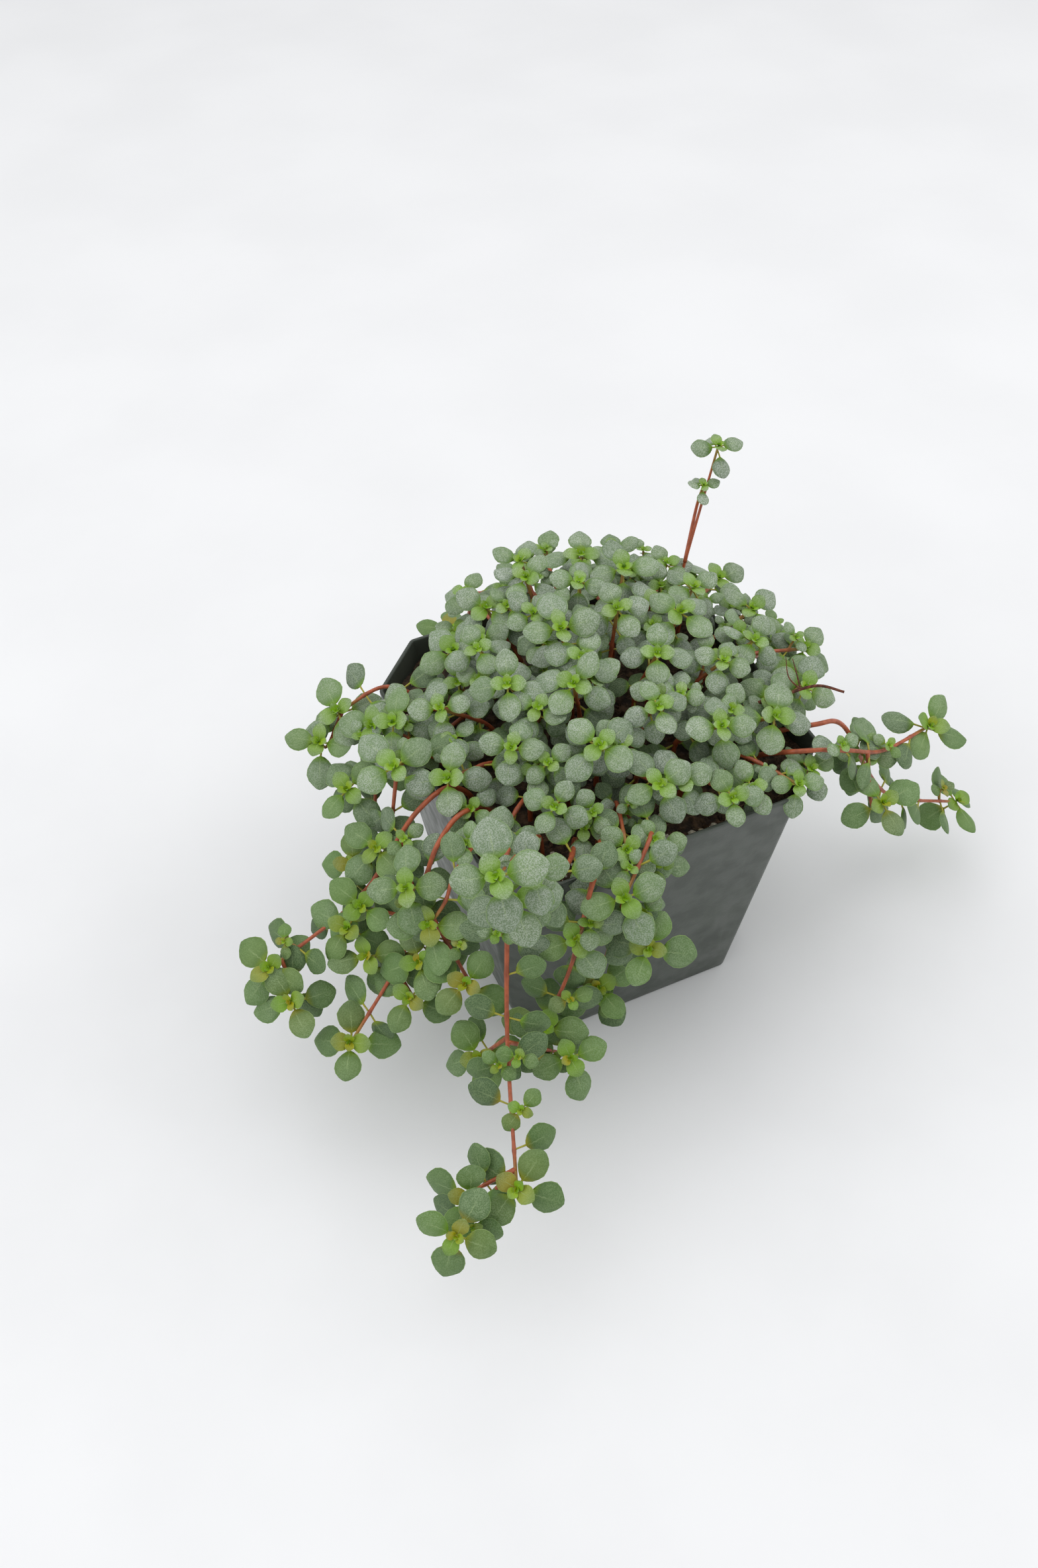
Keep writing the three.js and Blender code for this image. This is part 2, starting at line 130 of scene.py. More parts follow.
# ------------------------------------------------------------------------------------------
# Surfaces
# ------------------------------------------------------------------------------------------


def unit(vectors: Array) -> Array:
    """Vectors at length one: each divided by its own length."""
    return vectors / np.maximum(np.linalg.norm(vectors, axis=-1, keepdims=True), 1e-12)


def facing(points: Array) -> Array:
    """Which way leaves at these places face: up, leaning towards the light and out from the pot's middle.

    Args:
        points: Places, as rows of x, y, z.

    Returns:
        The unit vector of each.
    """
    flat = np.asarray(points, float) * [1.0, 1.0, 0.0]
    return unit(flat * OUTWARD_LEAN + UP + LIGHTWARD)


def polar(heading: float, reach: float, height: float) -> list[float]:
    """The point at a heading in degrees, a reach from the pot's middle and a height."""
    angle = math.radians(heading)
    return [reach * math.cos(angle), reach * math.sin(angle), height]


def taper(height: Array, rim: float) -> Array:
    """The pot's width at each height, as a share of its width at the rim."""
    return POT_BASE_SHARE + (1 - POT_BASE_SHARE) * height / rim


def wall_reach(turn: Array, half: float, inset: float = 0.0) -> Array:
    """How far the rim is from the pot's middle in each direction: the nearest of its eight sides.

    Args:
        turn: The directions, as angles in radians.
        half: Half the pot's width at the rim.
        inset: How far inside the sides to measure.

    Returns:
        The distance in each direction.
    """
    sides = np.arange(8)
    away = np.where(sides % 2 == 0, half, (2 * half - POT_CORNER) / math.sqrt(2)) - inset
    cosine = np.cos(turn[:, None] - sides * math.pi / 4)
    return np.where(cosine > 0.3, away / np.maximum(cosine, 0.3), 1e9).min(axis=1)


def run_along(line: Array) -> Array:
    """The distance of each point of a line from its start."""
    return np.concatenate([[0.0], np.cumsum(np.linalg.norm(np.diff(line, axis=0), axis=1))])


def curve_through(points: Sequence[Sequence[float]], step: float) -> Array:
    """A smooth line through points, as even steps.

    Each span is a cubic whose slopes come from its neighbours, weighted by the square root of the distance
    between points, and the whole is then read at equal distances along itself.

    Args:
        points: The places that it passes through.
        step: The distance between rows of the result.

    Returns:
        The line's points as rows.
    """
    p = np.asarray(points, float)
    p = np.vstack([2 * p[0] - p[1], p, 2 * p[-1] - p[-2]])
    gap = np.sqrt(np.linalg.norm(np.diff(p, axis=0), axis=1))[:, None]
    p0, p1, p2, p3 = p[:-3], p[1:-2], p[2:-1], p[3:]
    g0, g1, g2 = gap[:-2], gap[1:-1], gap[2:]
    m1 = g1 * ((p1 - p0) / g0 - (p2 - p0) / (g0 + g1) + (p2 - p1) / g1)
    m2 = g1 * ((p2 - p1) / g1 - (p3 - p1) / (g1 + g2) + (p3 - p2) / g2)
    t = np.linspace(0, 1, 24, endpoint=False)[None, :, None]
    a, b = (2 * p1 - 2 * p2 + m1 + m2)[:, None], (3 * p2 - 3 * p1 - 2 * m1 - m2)[:, None]
    line = (((a * t + b) * t + m1[:, None]) * t + p1[:, None]).reshape(-1, 3)
    line = np.vstack([line, p2[-1]])
    run = run_along(line)
    even = np.linspace(0, run[-1], max(4, round(run[-1] / step) + 1))
    return np.stack([np.interp(even, run, line[:, i]) for i in range(3)], axis=1)


def lattice_noise(points: Array, cell: float, seed: int) -> Array:
    """Smooth noise between -1 and 1: random values at the corners of a lattice, eased between them.

    Args:
        points: Places, as rows of x, y, z.
        cell: The lattice's spacing.
        seed: Which lattice.

    Returns:
        One value for each place.
    """
    values = np.random.default_rng(seed).uniform(-1, 1, (32, 32, 32))
    scaled = points / cell
    low = np.floor(scaled).astype(int)
    share = scaled - low
    share = share * share * (3 - 2 * share)
    total = np.zeros(len(points))
    for corner in np.ndindex(2, 2, 2):
        weight = np.prod(np.where(corner, share, 1 - share), axis=1)
        total += weight * values[tuple(((low + corner) % 32).T)]
    return total


@dataclass
class Surface:
    """Points, faces and per-point values of part of a mesh, in millimetres."""

    points: Array
    faces: list[Array]
    values: dict[str, Array] = field(default_factory=dict)
    rim: Array | None = None
    material: int = 0


def ring_faces(rows: int, sides: int) -> Array:
    """The quads of a grid of rows whose sides close round into a ring, facing out.

    Args:
        rows: How many rings there are.
        sides: How many points each ring has.

    Returns:
        The quads, as rows of four point numbers.
    """
    i, k = np.meshgrid(np.arange(rows - 1), np.arange(sides), indexing="ij")
    along, round_ = i * sides, (k + 1) % sides
    return np.stack([along + k, along + round_, along + sides + round_, along + sides + k], -1).reshape(-1, 4)


def tube(line: Array, radii: Array, sides: int, values: dict[str, Array], material: int) -> Surface:
    """A round bar along a line: a circle of the given radius at each point, square to the line.

    Its ends are flat.

    Args:
        line: The middle line.
        radii: The radius at each of its points.
        sides: How many points each circle has.
        values: One value for each of the line's points, by name.
        material: The material slot's number.

    Returns:
        The closed surface.
    """
    tangent = unit(np.gradient(line, axis=0))
    steady = np.linalg.svd(tangent)[2][-1]
    side = unit(np.cross(steady, tangent))
    other = np.cross(tangent, side)
    turn = np.linspace(0, 2 * math.pi, sides, endpoint=False)
    round_ = np.cos(turn)[None, :, None] * side[:, None] + np.sin(turn)[None, :, None] * other[:, None]
    points = (line[:, None] + radii[:, None, None] * round_).reshape(-1, 3)
    first = np.arange(sides)[::-1][None]
    last = np.arange(sides)[None] + (len(line) - 1) * sides
    spread = {name: np.repeat(each, sides) for name, each in values.items()}
    return Surface(points, [ring_faces(len(line), sides), first, last], spread, None, material)


def blobs(centres: Array, sizes: Array, rough: float, rng: np.random.Generator) -> Surface:
    """Many small closed grains: a sphere grid each, stretched, turned and dented at random.

    Args:
        centres: Where they lie.
        sizes: Each one's three half sizes.
        rough: How much their points stray, as a share of their size.
        rng: The source of chance.

    Returns:
        One surface that holds them all.
    """
    count, rings, sides = len(centres), 4, 7
    slope = np.linspace(0, math.pi, rings + 2)[1:-1]
    turn = np.linspace(0, 2 * math.pi, sides, endpoint=False)
    ring = np.stack([
        np.sin(slope)[:, None] * np.cos(turn), np.sin(slope)[:, None] * np.sin(turn),
        -np.cos(slope)[:, None] * np.ones(sides),
    ], -1).reshape(-1, 3)
    ball = np.vstack([ring, [[0, 0, -1], [0, 0, 1]]])
    stray = 1 + rough * rng.uniform(-1, 1, (count, len(ball), 1))
    turned = np.linalg.qr(rng.normal(size=(count, 3, 3)))[0]
    turned *= np.sign(np.linalg.det(turned))[:, None, None]
    points = centres[:, None] + np.einsum("nij,npj->npi", turned, ball[None] * stray * sizes[:, None])
    low = np.stack([np.full(sides, len(ring)), (np.arange(sides) + 1) % sides, np.arange(sides)], 1)
    top = np.stack([
        np.full(sides, len(ring) + 1), np.arange(sides) + (rings - 1) * sides,
        (np.arange(sides) + 1) % sides + (rings - 1) * sides,
    ], 1)
    shift = (np.arange(count) * len(ball))[:, None, None]
    faces = [(each[None] + shift).reshape(-1, each.shape[1]) for each in (ring_faces(rings, sides), low, top)]
    values = {"tone": np.repeat(rng.uniform(0, 1, count), len(ball))}
    return Surface(points.reshape(-1, 3), faces, values)


def make_piece(name: str, surfaces: list[Surface], materials: list[bpy.types.Material]) -> bpy.types.Object:
    """One smooth Blender mesh of several surfaces, each with its own material slot.

    Args:
        name: The piece's name.
        surfaces: Its surfaces, in millimetres.
        materials: Its materials, in the order of the slots that the surfaces name.

    Returns:
        The new object, linked to the scene, with its place in its mesh.
    """
    starts = np.cumsum([0] + [len(s.points) for s in surfaces])
    corners, totals, slots = [], [], []
    for surface, start in zip(surfaces, starts):
        for faces in surface.faces:
            corners.append((faces + start).ravel())
            totals.append(np.full(len(faces), faces.shape[1]))
            slots.append(np.full(len(faces), surface.material))
    corner, total, slot = map(np.concatenate, (corners, totals, slots))
    mesh = bpy.data.meshes.new(name)
    mesh.vertices.add(int(starts[-1]))
    mesh.vertices.foreach_set("co", (np.vstack([s.points for s in surfaces]) * MM).astype(np.float32).ravel())
    mesh.loops.add(len(corner))
    mesh.loops.foreach_set("vertex_index", corner.astype(np.int32))
    mesh.polygons.add(len(total))
    mesh.polygons.foreach_set("loop_start", np.concatenate([[0], np.cumsum(total)[:-1]]).astype(np.int32))
    mesh.polygons.foreach_set("material_index", slot.astype(np.int32))
    mesh.polygons.foreach_set("use_smooth", np.ones(len(total), bool))
    mesh.update(calc_edges=True)
    for label in sorted({label for s in surfaces for label in s.values}):
        data = np.concatenate([s.values.get(label, np.zeros(len(s.points))) for s in surfaces])
        mesh.attributes.new(label, "FLOAT", "POINT").data.foreach_set("value", data.astype(np.float32))
    rim = np.concatenate([s.rim if s.rim is not None else np.zeros(len(s.points), bool) for s in surfaces])
    if rim.any():
        ends = np.zeros(len(mesh.edges) * 2, np.int32)
        mesh.edges.foreach_get("vertices", ends)
        sharp = rim[ends.reshape(-1, 2)].all(axis=1)
        mesh.attributes.new("sharp_edge", "BOOLEAN", "EDGE").data.foreach_set("value", sharp)
    for material in materials:
        mesh.materials.append(material)
    piece = bpy.data.objects.new(name, mesh)
    bpy.context.scene.collection.objects.link(piece)
    return piece


# ------------------------------------------------------------------------------------------
# Finishes
# ------------------------------------------------------------------------------------------


class Mathematics(Enum):
    """The sums that a finish may ask of a Math node."""

    ADD = "ADD"
    SUBTRACT = "SUBTRACT"
    MULTIPLY = "MULTIPLY"
    SIZE = "ABSOLUTE"


Socket = bpy.types.NodeSocket | float


class Recipe:
    """A material's node tree, built step by step."""

    def __init__(self, name: str) -> None:
        """Starts an empty material with one main shader."""
        self.material = bpy.data.materials.new(name)
        self.material.use_nodes = True
        self.tree = self.material.node_tree
        self.tree.nodes.clear()
        self.shader = self.tree.nodes.new("ShaderNodeBsdfPrincipled")
        output = self.tree.nodes.new("ShaderNodeOutputMaterial")
        self.tree.links.new(self.shader.outputs["BSDF"], output.inputs["Surface"])
        self.place = self.tree.nodes.new("ShaderNodeTexCoord").outputs["Object"]

    def feed(self, socket: bpy.types.NodeSocket, value: Socket | Colour) -> None:
        """Links or sets one input."""
        if isinstance(value, bpy.types.NodeSocket):
            self.tree.links.new(value, socket)
        elif isinstance(value, tuple):
            socket.default_value = (*value, 1.0)
        else:
            socket.default_value = value

    def attribute(self, name: str) -> bpy.types.NodeSocket:
        """The value that the piece's points carry under a name."""
        node = self.tree.nodes.new("ShaderNodeAttribute")
        node.attribute_name = name
        return node.outputs["Fac"]

    def noise(self, size: float, detail: float = 2.0,
              stretch: Sequence[float] = (1, 1, 1)) -> bpy.types.NodeSocket:
        """Cloudy noise whose grains have about this size in metres.

        Args:
            size: The grains' size.
            detail: How many finer layers it has.
            stretch: How much closer the grains stand along x, y and z.

        Returns:
            A value of about 0 to 1.
        """
        mapping = self.tree.nodes.new("ShaderNodeMapping")
        mapping.inputs["Scale"].default_value = stretch
        self.tree.links.new(self.place, mapping.inputs["Vector"])
        node = self.tree.nodes.new("ShaderNodeTexNoise")
        node.inputs["Scale"].default_value = 1.0 / size
        node.inputs["Detail"].default_value = detail
        self.tree.links.new(mapping.outputs["Vector"], node.inputs["Vector"])
        return node.outputs["Fac"]

    def grains(self, size: float) -> bpy.types.NodeSocket:
        """The distance to the nearest of many scattered points, in grains of this size in metres."""
        node = self.tree.nodes.new("ShaderNodeTexVoronoi")
        node.inputs["Scale"].default_value = 1.0 / size
        self.tree.links.new(self.place, node.inputs["Vector"])
        return node.outputs["Distance"]

    def sum(self, kind: Mathematics, a: Socket, b: Socket = 0.0) -> bpy.types.NodeSocket:
        """The result of one sum."""
        node = self.tree.nodes.new("ShaderNodeMath")
        node.operation = kind.value
        self.feed(node.inputs[0], a)
        self.feed(node.inputs[1], b)
        return node.outputs["Value"]

    def times(self, a: Socket, b: Socket) -> bpy.types.NodeSocket:
        """The product of two values."""
        return self.sum(Mathematics.MULTIPLY, a, b)

    def ease(self, value: Socket, low: float, high: float, start: float = 0.0,
             end: float = 1.0) -> bpy.types.NodeSocket:
        """A value eased from start to end while the input goes from low to high.

        Args:
            value: The input.
            low: Where the change begins.
            high: Where it ends.
            start: The result at and before low.
            end: The result at and after high.

        Returns:
            The eased value.
        """
        node = self.tree.nodes.new("ShaderNodeMapRange")
        node.interpolation_type = "SMOOTHSTEP"
        self.feed(node.inputs["Value"], value)
        for name, number in (("From Min", low), ("From Max", high), ("To Min", start), ("To Max", end)):
            node.inputs[name].default_value = number
        return node.outputs["Result"]

    def blend(self, share: Socket, a: Socket | Colour, b: Socket | Colour) -> bpy.types.NodeSocket:
        """A colour between a and b."""
        node = self.tree.nodes.new("ShaderNodeMix")
        node.data_type = "RGBA"
        self.feed(node.inputs[0], share)
        self.feed(node.inputs[6], a)
        self.feed(node.inputs[7], b)
        return node.outputs[2]

    def coat(self, colour: Socket, roughness: Socket) -> None:
        """Gives the surface its colour and its roughness."""
        self.feed(self.shader.inputs["Base Color"], colour)
        self.feed(self.shader.inputs["Roughness"], roughness)

    def relief(self, height: Socket, depth: float, strength: float = 1.0) -> None:
        """Raises the surface by a height pattern, to this depth in metres."""
        node = self.tree.nodes.new("ShaderNodeBump")
        node.inputs["Distance"].default_value = depth
        node.inputs["Strength"].default_value = strength
        self.feed(node.inputs["Height"], height)
        self.tree.links.new(node.outputs["Normal"], self.shader.inputs["Normal"])


def paint(red: float, green: float, blue: float) -> Colour:
    """A colour as shown on a screen, from 0 to 255, turned into amounts of light."""
    shown = np.array([red, green, blue]) / 255
    light = np.where(shown <= 0.04045, shown / 12.92, ((shown + 0.055) / 1.055) ** 2.4)
    return (float(light[0]), float(light[1]), float(light[2]))


@dataclass(frozen=True)
class LeafFinish:
    """Green flesh under a fine silver speckle, greener towards stalk and edge, with yellow-green hearts; its
    dark flesh also stands in for painted shade on low leaves, and a pale band along the margins paints light
    shining through the thin edge.
    """

    flesh: Colour = paint(82, 120, 46)
    # deep: the dark green of older leaves, also used as painted shade on low leaves.
    deep: Colour = paint(46, 78, 34)
    silver: Colour = paint(178, 188, 174)
    frost: Colour = paint(152, 178, 122)
    heart: Colour = paint(132, 178, 2)
    warm: Colour = paint(206, 140, 2)
    # edge: a pale band at each leaf's margin, painted light shining through the thin edge.
    edge: Colour = paint(158, 184, 112)
    rib: Colour = paint(176, 196, 140)
    under: Colour = paint(112, 150, 56)
    stalk: Colour = paint(164, 158, 50)

    def make(self) -> bpy.types.Material:
        """The leaf material, which reads the seven values that each leaf's points carry."""
        r = Recipe("silver_leaf")
        along, across = r.attribute("along"), r.sum(Mathematics.SIZE, r.attribute("across"))
        young, tone = r.attribute("young"), r.attribute("tone")
        speckle = r.ease(r.noise(0.0003, 3.0), 0.4, 0.6)
        cloud = r.ease(r.noise(0.0025, 2.0), 0.35, 0.65, 0.75, 1.0)
        # Partly painted shade: leaves low on the stems carry dark tones, so their flesh leans to the deep
        # colour, which is also older leaves' own darker green.
        flesh = r.blend(tone, self.deep, self.flesh)
        from_stalk = r.ease(r.sum(Mathematics.SUBTRACT, along, r.times(young, 0.55)), -0.02, 0.36)
        from_edge = r.ease(across, 0.72, 1.0, 1.0, 0.45)
        cover = r.times(r.times(from_stalk, from_edge), r.attribute("silver"))
        cover = r.times(cover, cloud)
        grain = r.times(cover, r.ease(speckle, 0.0, 1.0, 0.38, 1.0))
        speckled = r.blend(r.ease(r.attribute("silver"), 0.35, 0.8), self.frost, self.silver)
        colour = r.blend(grain, flesh, speckled)
        heart = r.blend(r.attribute("warm"), self.heart, self.warm)
        youth = r.times(r.ease(young, 0.0, 0.6), r.ease(along, 0.3, 1.2, 1.0, 0.3))
        colour = r.blend(youth, colour, heart)
        base = r.ease(along, -0.05, 0.26, 0.7, 0.0)
        colour = r.blend(base, colour, heart)
        rib = r.times(r.ease(across, 0.02, 0.06, 1.0, 0.0), r.ease(along, 0.3, 0.8, 0.3, 0.0))
        colour = r.blend(rib, colour, self.rib)
        # Painted light: a pale band along the margin stands in for light shining through the thin leaf edge.
        colour = r.blend(r.ease(across, 0.93, 1.0, 0.0, 0.5), colour, self.edge)
        below = r.blend(tone, self.under, self.flesh)
        colour = r.blend(r.ease(r.attribute("side"), -0.02, 0.02), below, colour)
        colour = r.blend(r.ease(along, -0.03, 0.02, 1.0, 0.0), colour, self.stalk)
        r.coat(colour, r.ease(speckle, 0.0, 1.0, 0.44, 0.58))
        r.shader.inputs["Specular IOR Level"].default_value = 0.55
        r.relief(r.sum(Mathematics.ADD, speckle, r.times(rib, -2.0)), 0.00006, 0.6)
        return r.material


@dataclass(frozen=True)
class StemFinish:
    """Juicy red-brown stems, greener and yellower towards their tips, with darker joints."""

    ripe: Colour = paint(178, 90, 54)
    dark: Colour = paint(122, 60, 36)
    tip: Colour = paint(160, 140, 60)

    def make(self) -> bpy.types.Material:
        """The stem material: it reads each stem's age and joint values."""
        r = Recipe("red_stem")
        streak = r.ease(r.noise(0.0016, 3.0, (1, 1, 0.4)), 0.35, 0.7)
        colour = r.blend(r.times(streak, 0.6), self.ripe, self.dark)
        colour = r.blend(r.ease(r.attribute("age"), 0.02, 0.3, 0.85, 0.0), colour, self.tip)
        colour = r.blend(r.times(r.attribute("joint"), 0.5), colour, self.dark)
        r.coat(colour, r.ease(streak, 0.0, 1.0, 0.34, 0.5))
        r.relief(r.noise(0.0006, 2.0), 0.00008, 0.5)
        return r.material


@dataclass(frozen=True)
class PotFinish:
    """Moulded grey-green plastic with faint rubs and a dusting of specks."""

    shade: Colour = paint(60, 67, 59)
    worn: Colour = paint(84, 91, 82)
    dust: Colour = paint(150, 150, 140)

    def make(self) -> bpy.types.Material:
        """The pot's material."""
        r = Recipe("nursery_plastic")
        cloud = r.ease(r.noise(0.018, 4.0), 0.3, 0.75)
        rubs = r.ease(r.noise(0.004, 5.0, (1, 1, 0.12)), 0.58, 0.78, 0.0, 0.5)
        specks = r.ease(r.grains(0.0022), 0.06, 0.11, 0.35, 0.0)
        colour = r.blend(r.times(cloud, 0.45), self.shade, self.worn)
        colour = r.blend(rubs, colour, self.worn)
        colour = r.blend(r.times(specks, r.ease(r.noise(0.012), 0.5, 0.7)), colour, self.dust)
        r.coat(colour, r.ease(r.noise(0.006, 4.0), 0.3, 0.7, 0.32, 0.5))
        r.relief(r.sum(Mathematics.ADD, r.noise(0.0007, 2.0), rubs), 0.00006, 0.5)
        return r.material


@dataclass(frozen=True)
class SoilFinish:
    """Dark brown potting mix with paler fibres."""

    dark: Colour = paint(38, 29, 21)
    brown: Colour = paint(92, 68, 44)
    fibre: Colour = paint(138, 110, 74)

    def make(self) -> bpy.types.Material:
        """The soil's material."""
        r = Recipe("potting_mix")
        crumbs = r.ease(r.noise(0.0025, 6.0), 0.35, 0.7)
        fibres = r.ease(r.noise(0.002, 4.0, (0.3, 1.6, 1)), 0.62, 0.72)
        colour = r.blend(crumbs, self.dark, self.brown)
        colour = r.blend(r.times(fibres, 0.5), colour, self.fibre)
        r.coat(colour, r.ease(crumbs, 0.0, 1.0, 0.95, 0.8))
        r.relief(crumbs, 0.0009, 0.9)
        return r.material


@dataclass(frozen=True)
class GrainFinish:
    """Small loose grains, between two shades."""

    name: str
    pale: Colour
    dull: Colour

    def make(self) -> bpy.types.Material:
        """The grains' material, which reads each grain's tone."""
        r = Recipe(self.name)
        mottle = r.ease(r.noise(0.0006, 3.0), 0.3, 0.7)
        colour = r.blend(r.attribute("tone"), self.pale, self.dull)
        colour = r.blend(r.times(mottle, 0.4), colour, self.dull)
        r.coat(colour, r.ease(mottle, 0.0, 1.0, 0.85, 0.95))
        r.relief(mottle, 0.0003, 0.8)
        return r.material


@dataclass(frozen=True)
class DryFinish:
    """A dead stem, brown and fibrous."""

    brown: Colour = paint(112, 60, 38)
    dark: Colour = paint(60, 34, 24)

    def make(self) -> bpy.types.Material:
        """The dead stem's material."""
        r = Recipe("withered_bark")
        streak = r.ease(r.noise(0.0008, 4.0, (1, 1, 0.3)), 0.35, 0.7)
        r.coat(r.blend(streak, self.brown, self.dark), r.ease(streak, 0.0, 1.0, 0.7, 0.9))
        r.relief(streak, 0.0002, 0.8)
        return r.material


@dataclass(frozen=True)
class TableFinish:
    """A pale matt tabletop."""

    pale: Colour = paint(244, 245, 247)
    shade: Colour = paint(240, 241, 243)

    def make(self) -> bpy.types.Material:
        """The tabletop's material."""
        r = Recipe("pale_tabletop")
        colour = r.blend(r.ease(r.noise(0.08, 4.0), 0.3, 0.7), self.pale, self.shade)
        r.coat(colour, r.ease(r.noise(0.02), 0.3, 0.7, 0.6, 0.7))
        return r.material


# ------------------------------------------------------------------------------------------
# Leaves and stems
# ------------------------------------------------------------------------------------------


@dataclass(frozen=True)
class Pair:
    """An opposite leaf pair of a rosette: sizes as shares of its leaf length, and angles in degrees."""

    turn: float
    size: float
    stalk: float
    rise: float
    height: float
    young: float
    cup: float


ROSETTE = (
    Pair(0, 1.08, 0.42, -8, -0.12, 0.0, -0.26),
    Pair(90, 1.0, 0.28, 9, 0.0, 0.12, -0.2),
    Pair(0, 0.63, 0.03, 20, 0.08, 0.34, 0.08),
    Pair(90, 0.34, 0.0, 40, 0.11, 0.75, 0.2),
    Pair(0, 0.18, 0.0, 60, 0.12, 1.0, 0.3),
)
SMALL_ROSETTE = ROSETTE[1:]


@dataclass
class LeafBed:
    """All the leaves of one shoot, kept as rows until their surface is made."""

    rng: np.random.Generator
    thickness: float = 0.5
    full_length: float = 7.0           # a blade at least this long has the whole thickness
    foot_taper: float = 0.22
    tip_taper: float = 0.42
    blade_rings: int = 8
    warm_below: float = 86.0           # hearts turn orange under this height, more the lower they are
    warm_depth: float = 40.0
    rows: list[list[float]] = field(default_factory=list)

    def add(self, base: Array, out: Array, normal: Array, length: float, stalk: float,
            young: float, cup: float, silver: float, tone: float) -> None:
        """Adds one leaf.

        Args:
            base: Where its stalk meets the stem.
            out: The way that it points.
            normal: The way that its upper face looks.
            length: The blade's length.
            stalk: The stalk's length.
            young: 0 for a grown leaf, 1 for one at the heart.
            cup: How far its edges curl up, as a share of its half width, or down where negative.
            silver: How much speckle it carries.
            tone: 0 for dark flesh, 1 for light; low leaves get dark tones, partly their own older colour and
                partly painted shade.
        """
        self.rows.append([*base, *out, *normal, length, stalk, young, cup, silver, tone])

    def surface(self) -> Surface:
        """All the leaves as one surface.

        Each leaf is a ring of six points carried along its midline. The midline runs along the stalk and then
        bends down as the square of the distance along the blade. The half width follows the sine of an angle
        that goes evenly from the blade's foot to its tip, and is narrowed at both. The section is a lens
        whose edges curl by the square of the distance from the midline.
        """
        table = np.array(self.rows)
        base, out, normal = (unit(table[:, 3:6]) if i == 1 else table[:, 3 * i:3 * i + 3] for i in range(3))
        length, stalk, young, cup, silver, tone = (table[:, i, None] for i in range(9, 15))
        across = unit(np.cross(normal, out))
        normal = np.cross(out, across)
        count, rng = len(table), self.rng
        angle = np.linspace(0, math.pi, self.blade_rings + 2)[None, 1:-1]
        foot, near_tip = (1 + np.cos(angle)) / 2, (1 - np.cos(angle)) / 2
        broad = rng.uniform(0.88, 1.02, (count, 1))
        narrowed = (1 - self.foot_taper * foot**3) * (1 - self.tip_taper * near_tip**5)
        width = 0.5 * broad * length * np.sin(angle) * narrowed
        thin = np.clip(0.036 * length, 0.1, 0.26)
        ahead = np.hstack([0 * stalk, 0.5 * stalk, stalk, stalk + length * near_tip])
        half = np.hstack([thin, thin, thin * 1.2, width])
        flesh = 0.5 * self.thickness * (0.45 + 0.55 * np.sin(angle))
        deep = np.hstack([thin, thin, thin, flesh * np.clip(length / self.full_length, 0.3, 1)])
        blade = np.clip((ahead - stalk) / length, 0, 1)
        droop = rng.uniform(0.05, 0.24, (count, 1)) * (1 - young)
        sink = -droop * length * blade**2
        t = np.array([1, 0.5, -0.5, -1, -0.5, 0.5])
        face = np.array([0, 1, 1, 0, -1, -1])
        rings, sides = ahead.shape[1], len(t)
        last = rings * sides
        stray = 1 + 0.02 * rng.normal(size=(count, rings, sides)) * (np.abs(t) == 1) * (blade[..., None] > 0)
        sideways = half[..., None] * t * stray
        curl = cup[..., None] * half[..., None] * t**2 * (blade[..., None] > 0)
        lift = sink[..., None] + deep[..., None] * face * np.sqrt(1.001 - t**2) + curl
        points = (base[:, None, None] + ahead[..., None, None] * out[:, None, None]
                  + sideways[..., None] * across[:, None, None] + lift[..., None] * normal[:, None, None])
        tip = (base + (stalk + length) * out + (-droop * length) * normal)[:, None]
        points = np.concatenate([points.reshape(count, last, 3), tip], axis=1)
        along = np.hstack([np.repeat((ahead - stalk) / length, sides, axis=1), np.ones((count, 1))])
        side = np.hstack([np.tile(face, (count, rings)), np.zeros((count, 1))])
        wide = np.hstack([np.tile(t, (count, rings)), np.zeros((count, 1))])
        edge = np.repeat(blade > 0, sides, axis=1) & np.tile(np.abs(t) == 1, (count, rings))
        rim = np.hstack([edge, np.ones((count, 1), bool)])
        shift = (np.arange(count) * (last + 1))[:, None, None]
        k = np.arange(sides)
        point = np.stack([last - sides + k, last - sides + (k + 1) % sides, np.full(sides, last)], 1)
        shapes = (ring_faces(rings, sides), point, k[::-1][None])
        faces = [(shape[None] + shift).reshape(-1, shape.shape[1]) for shape in shapes]
        each = np.ones((1, last + 1))
        low = np.clip((self.warm_below - base[:, 2:3]) / self.warm_depth, 0.05, 0.6)
        warm = rng.uniform(0, 1, (count, 1)) ** 2 * low
        values = {"along": along, "side": side, "across": wide, "young": young * each,
                  "silver": silver * each, "tone": tone * each, "warm": warm * each}
        flat = {name: value.ravel() for name, value in values.items()}
        return Surface(points.reshape(-1, 3), faces, flat, rim.ravel(), 0)


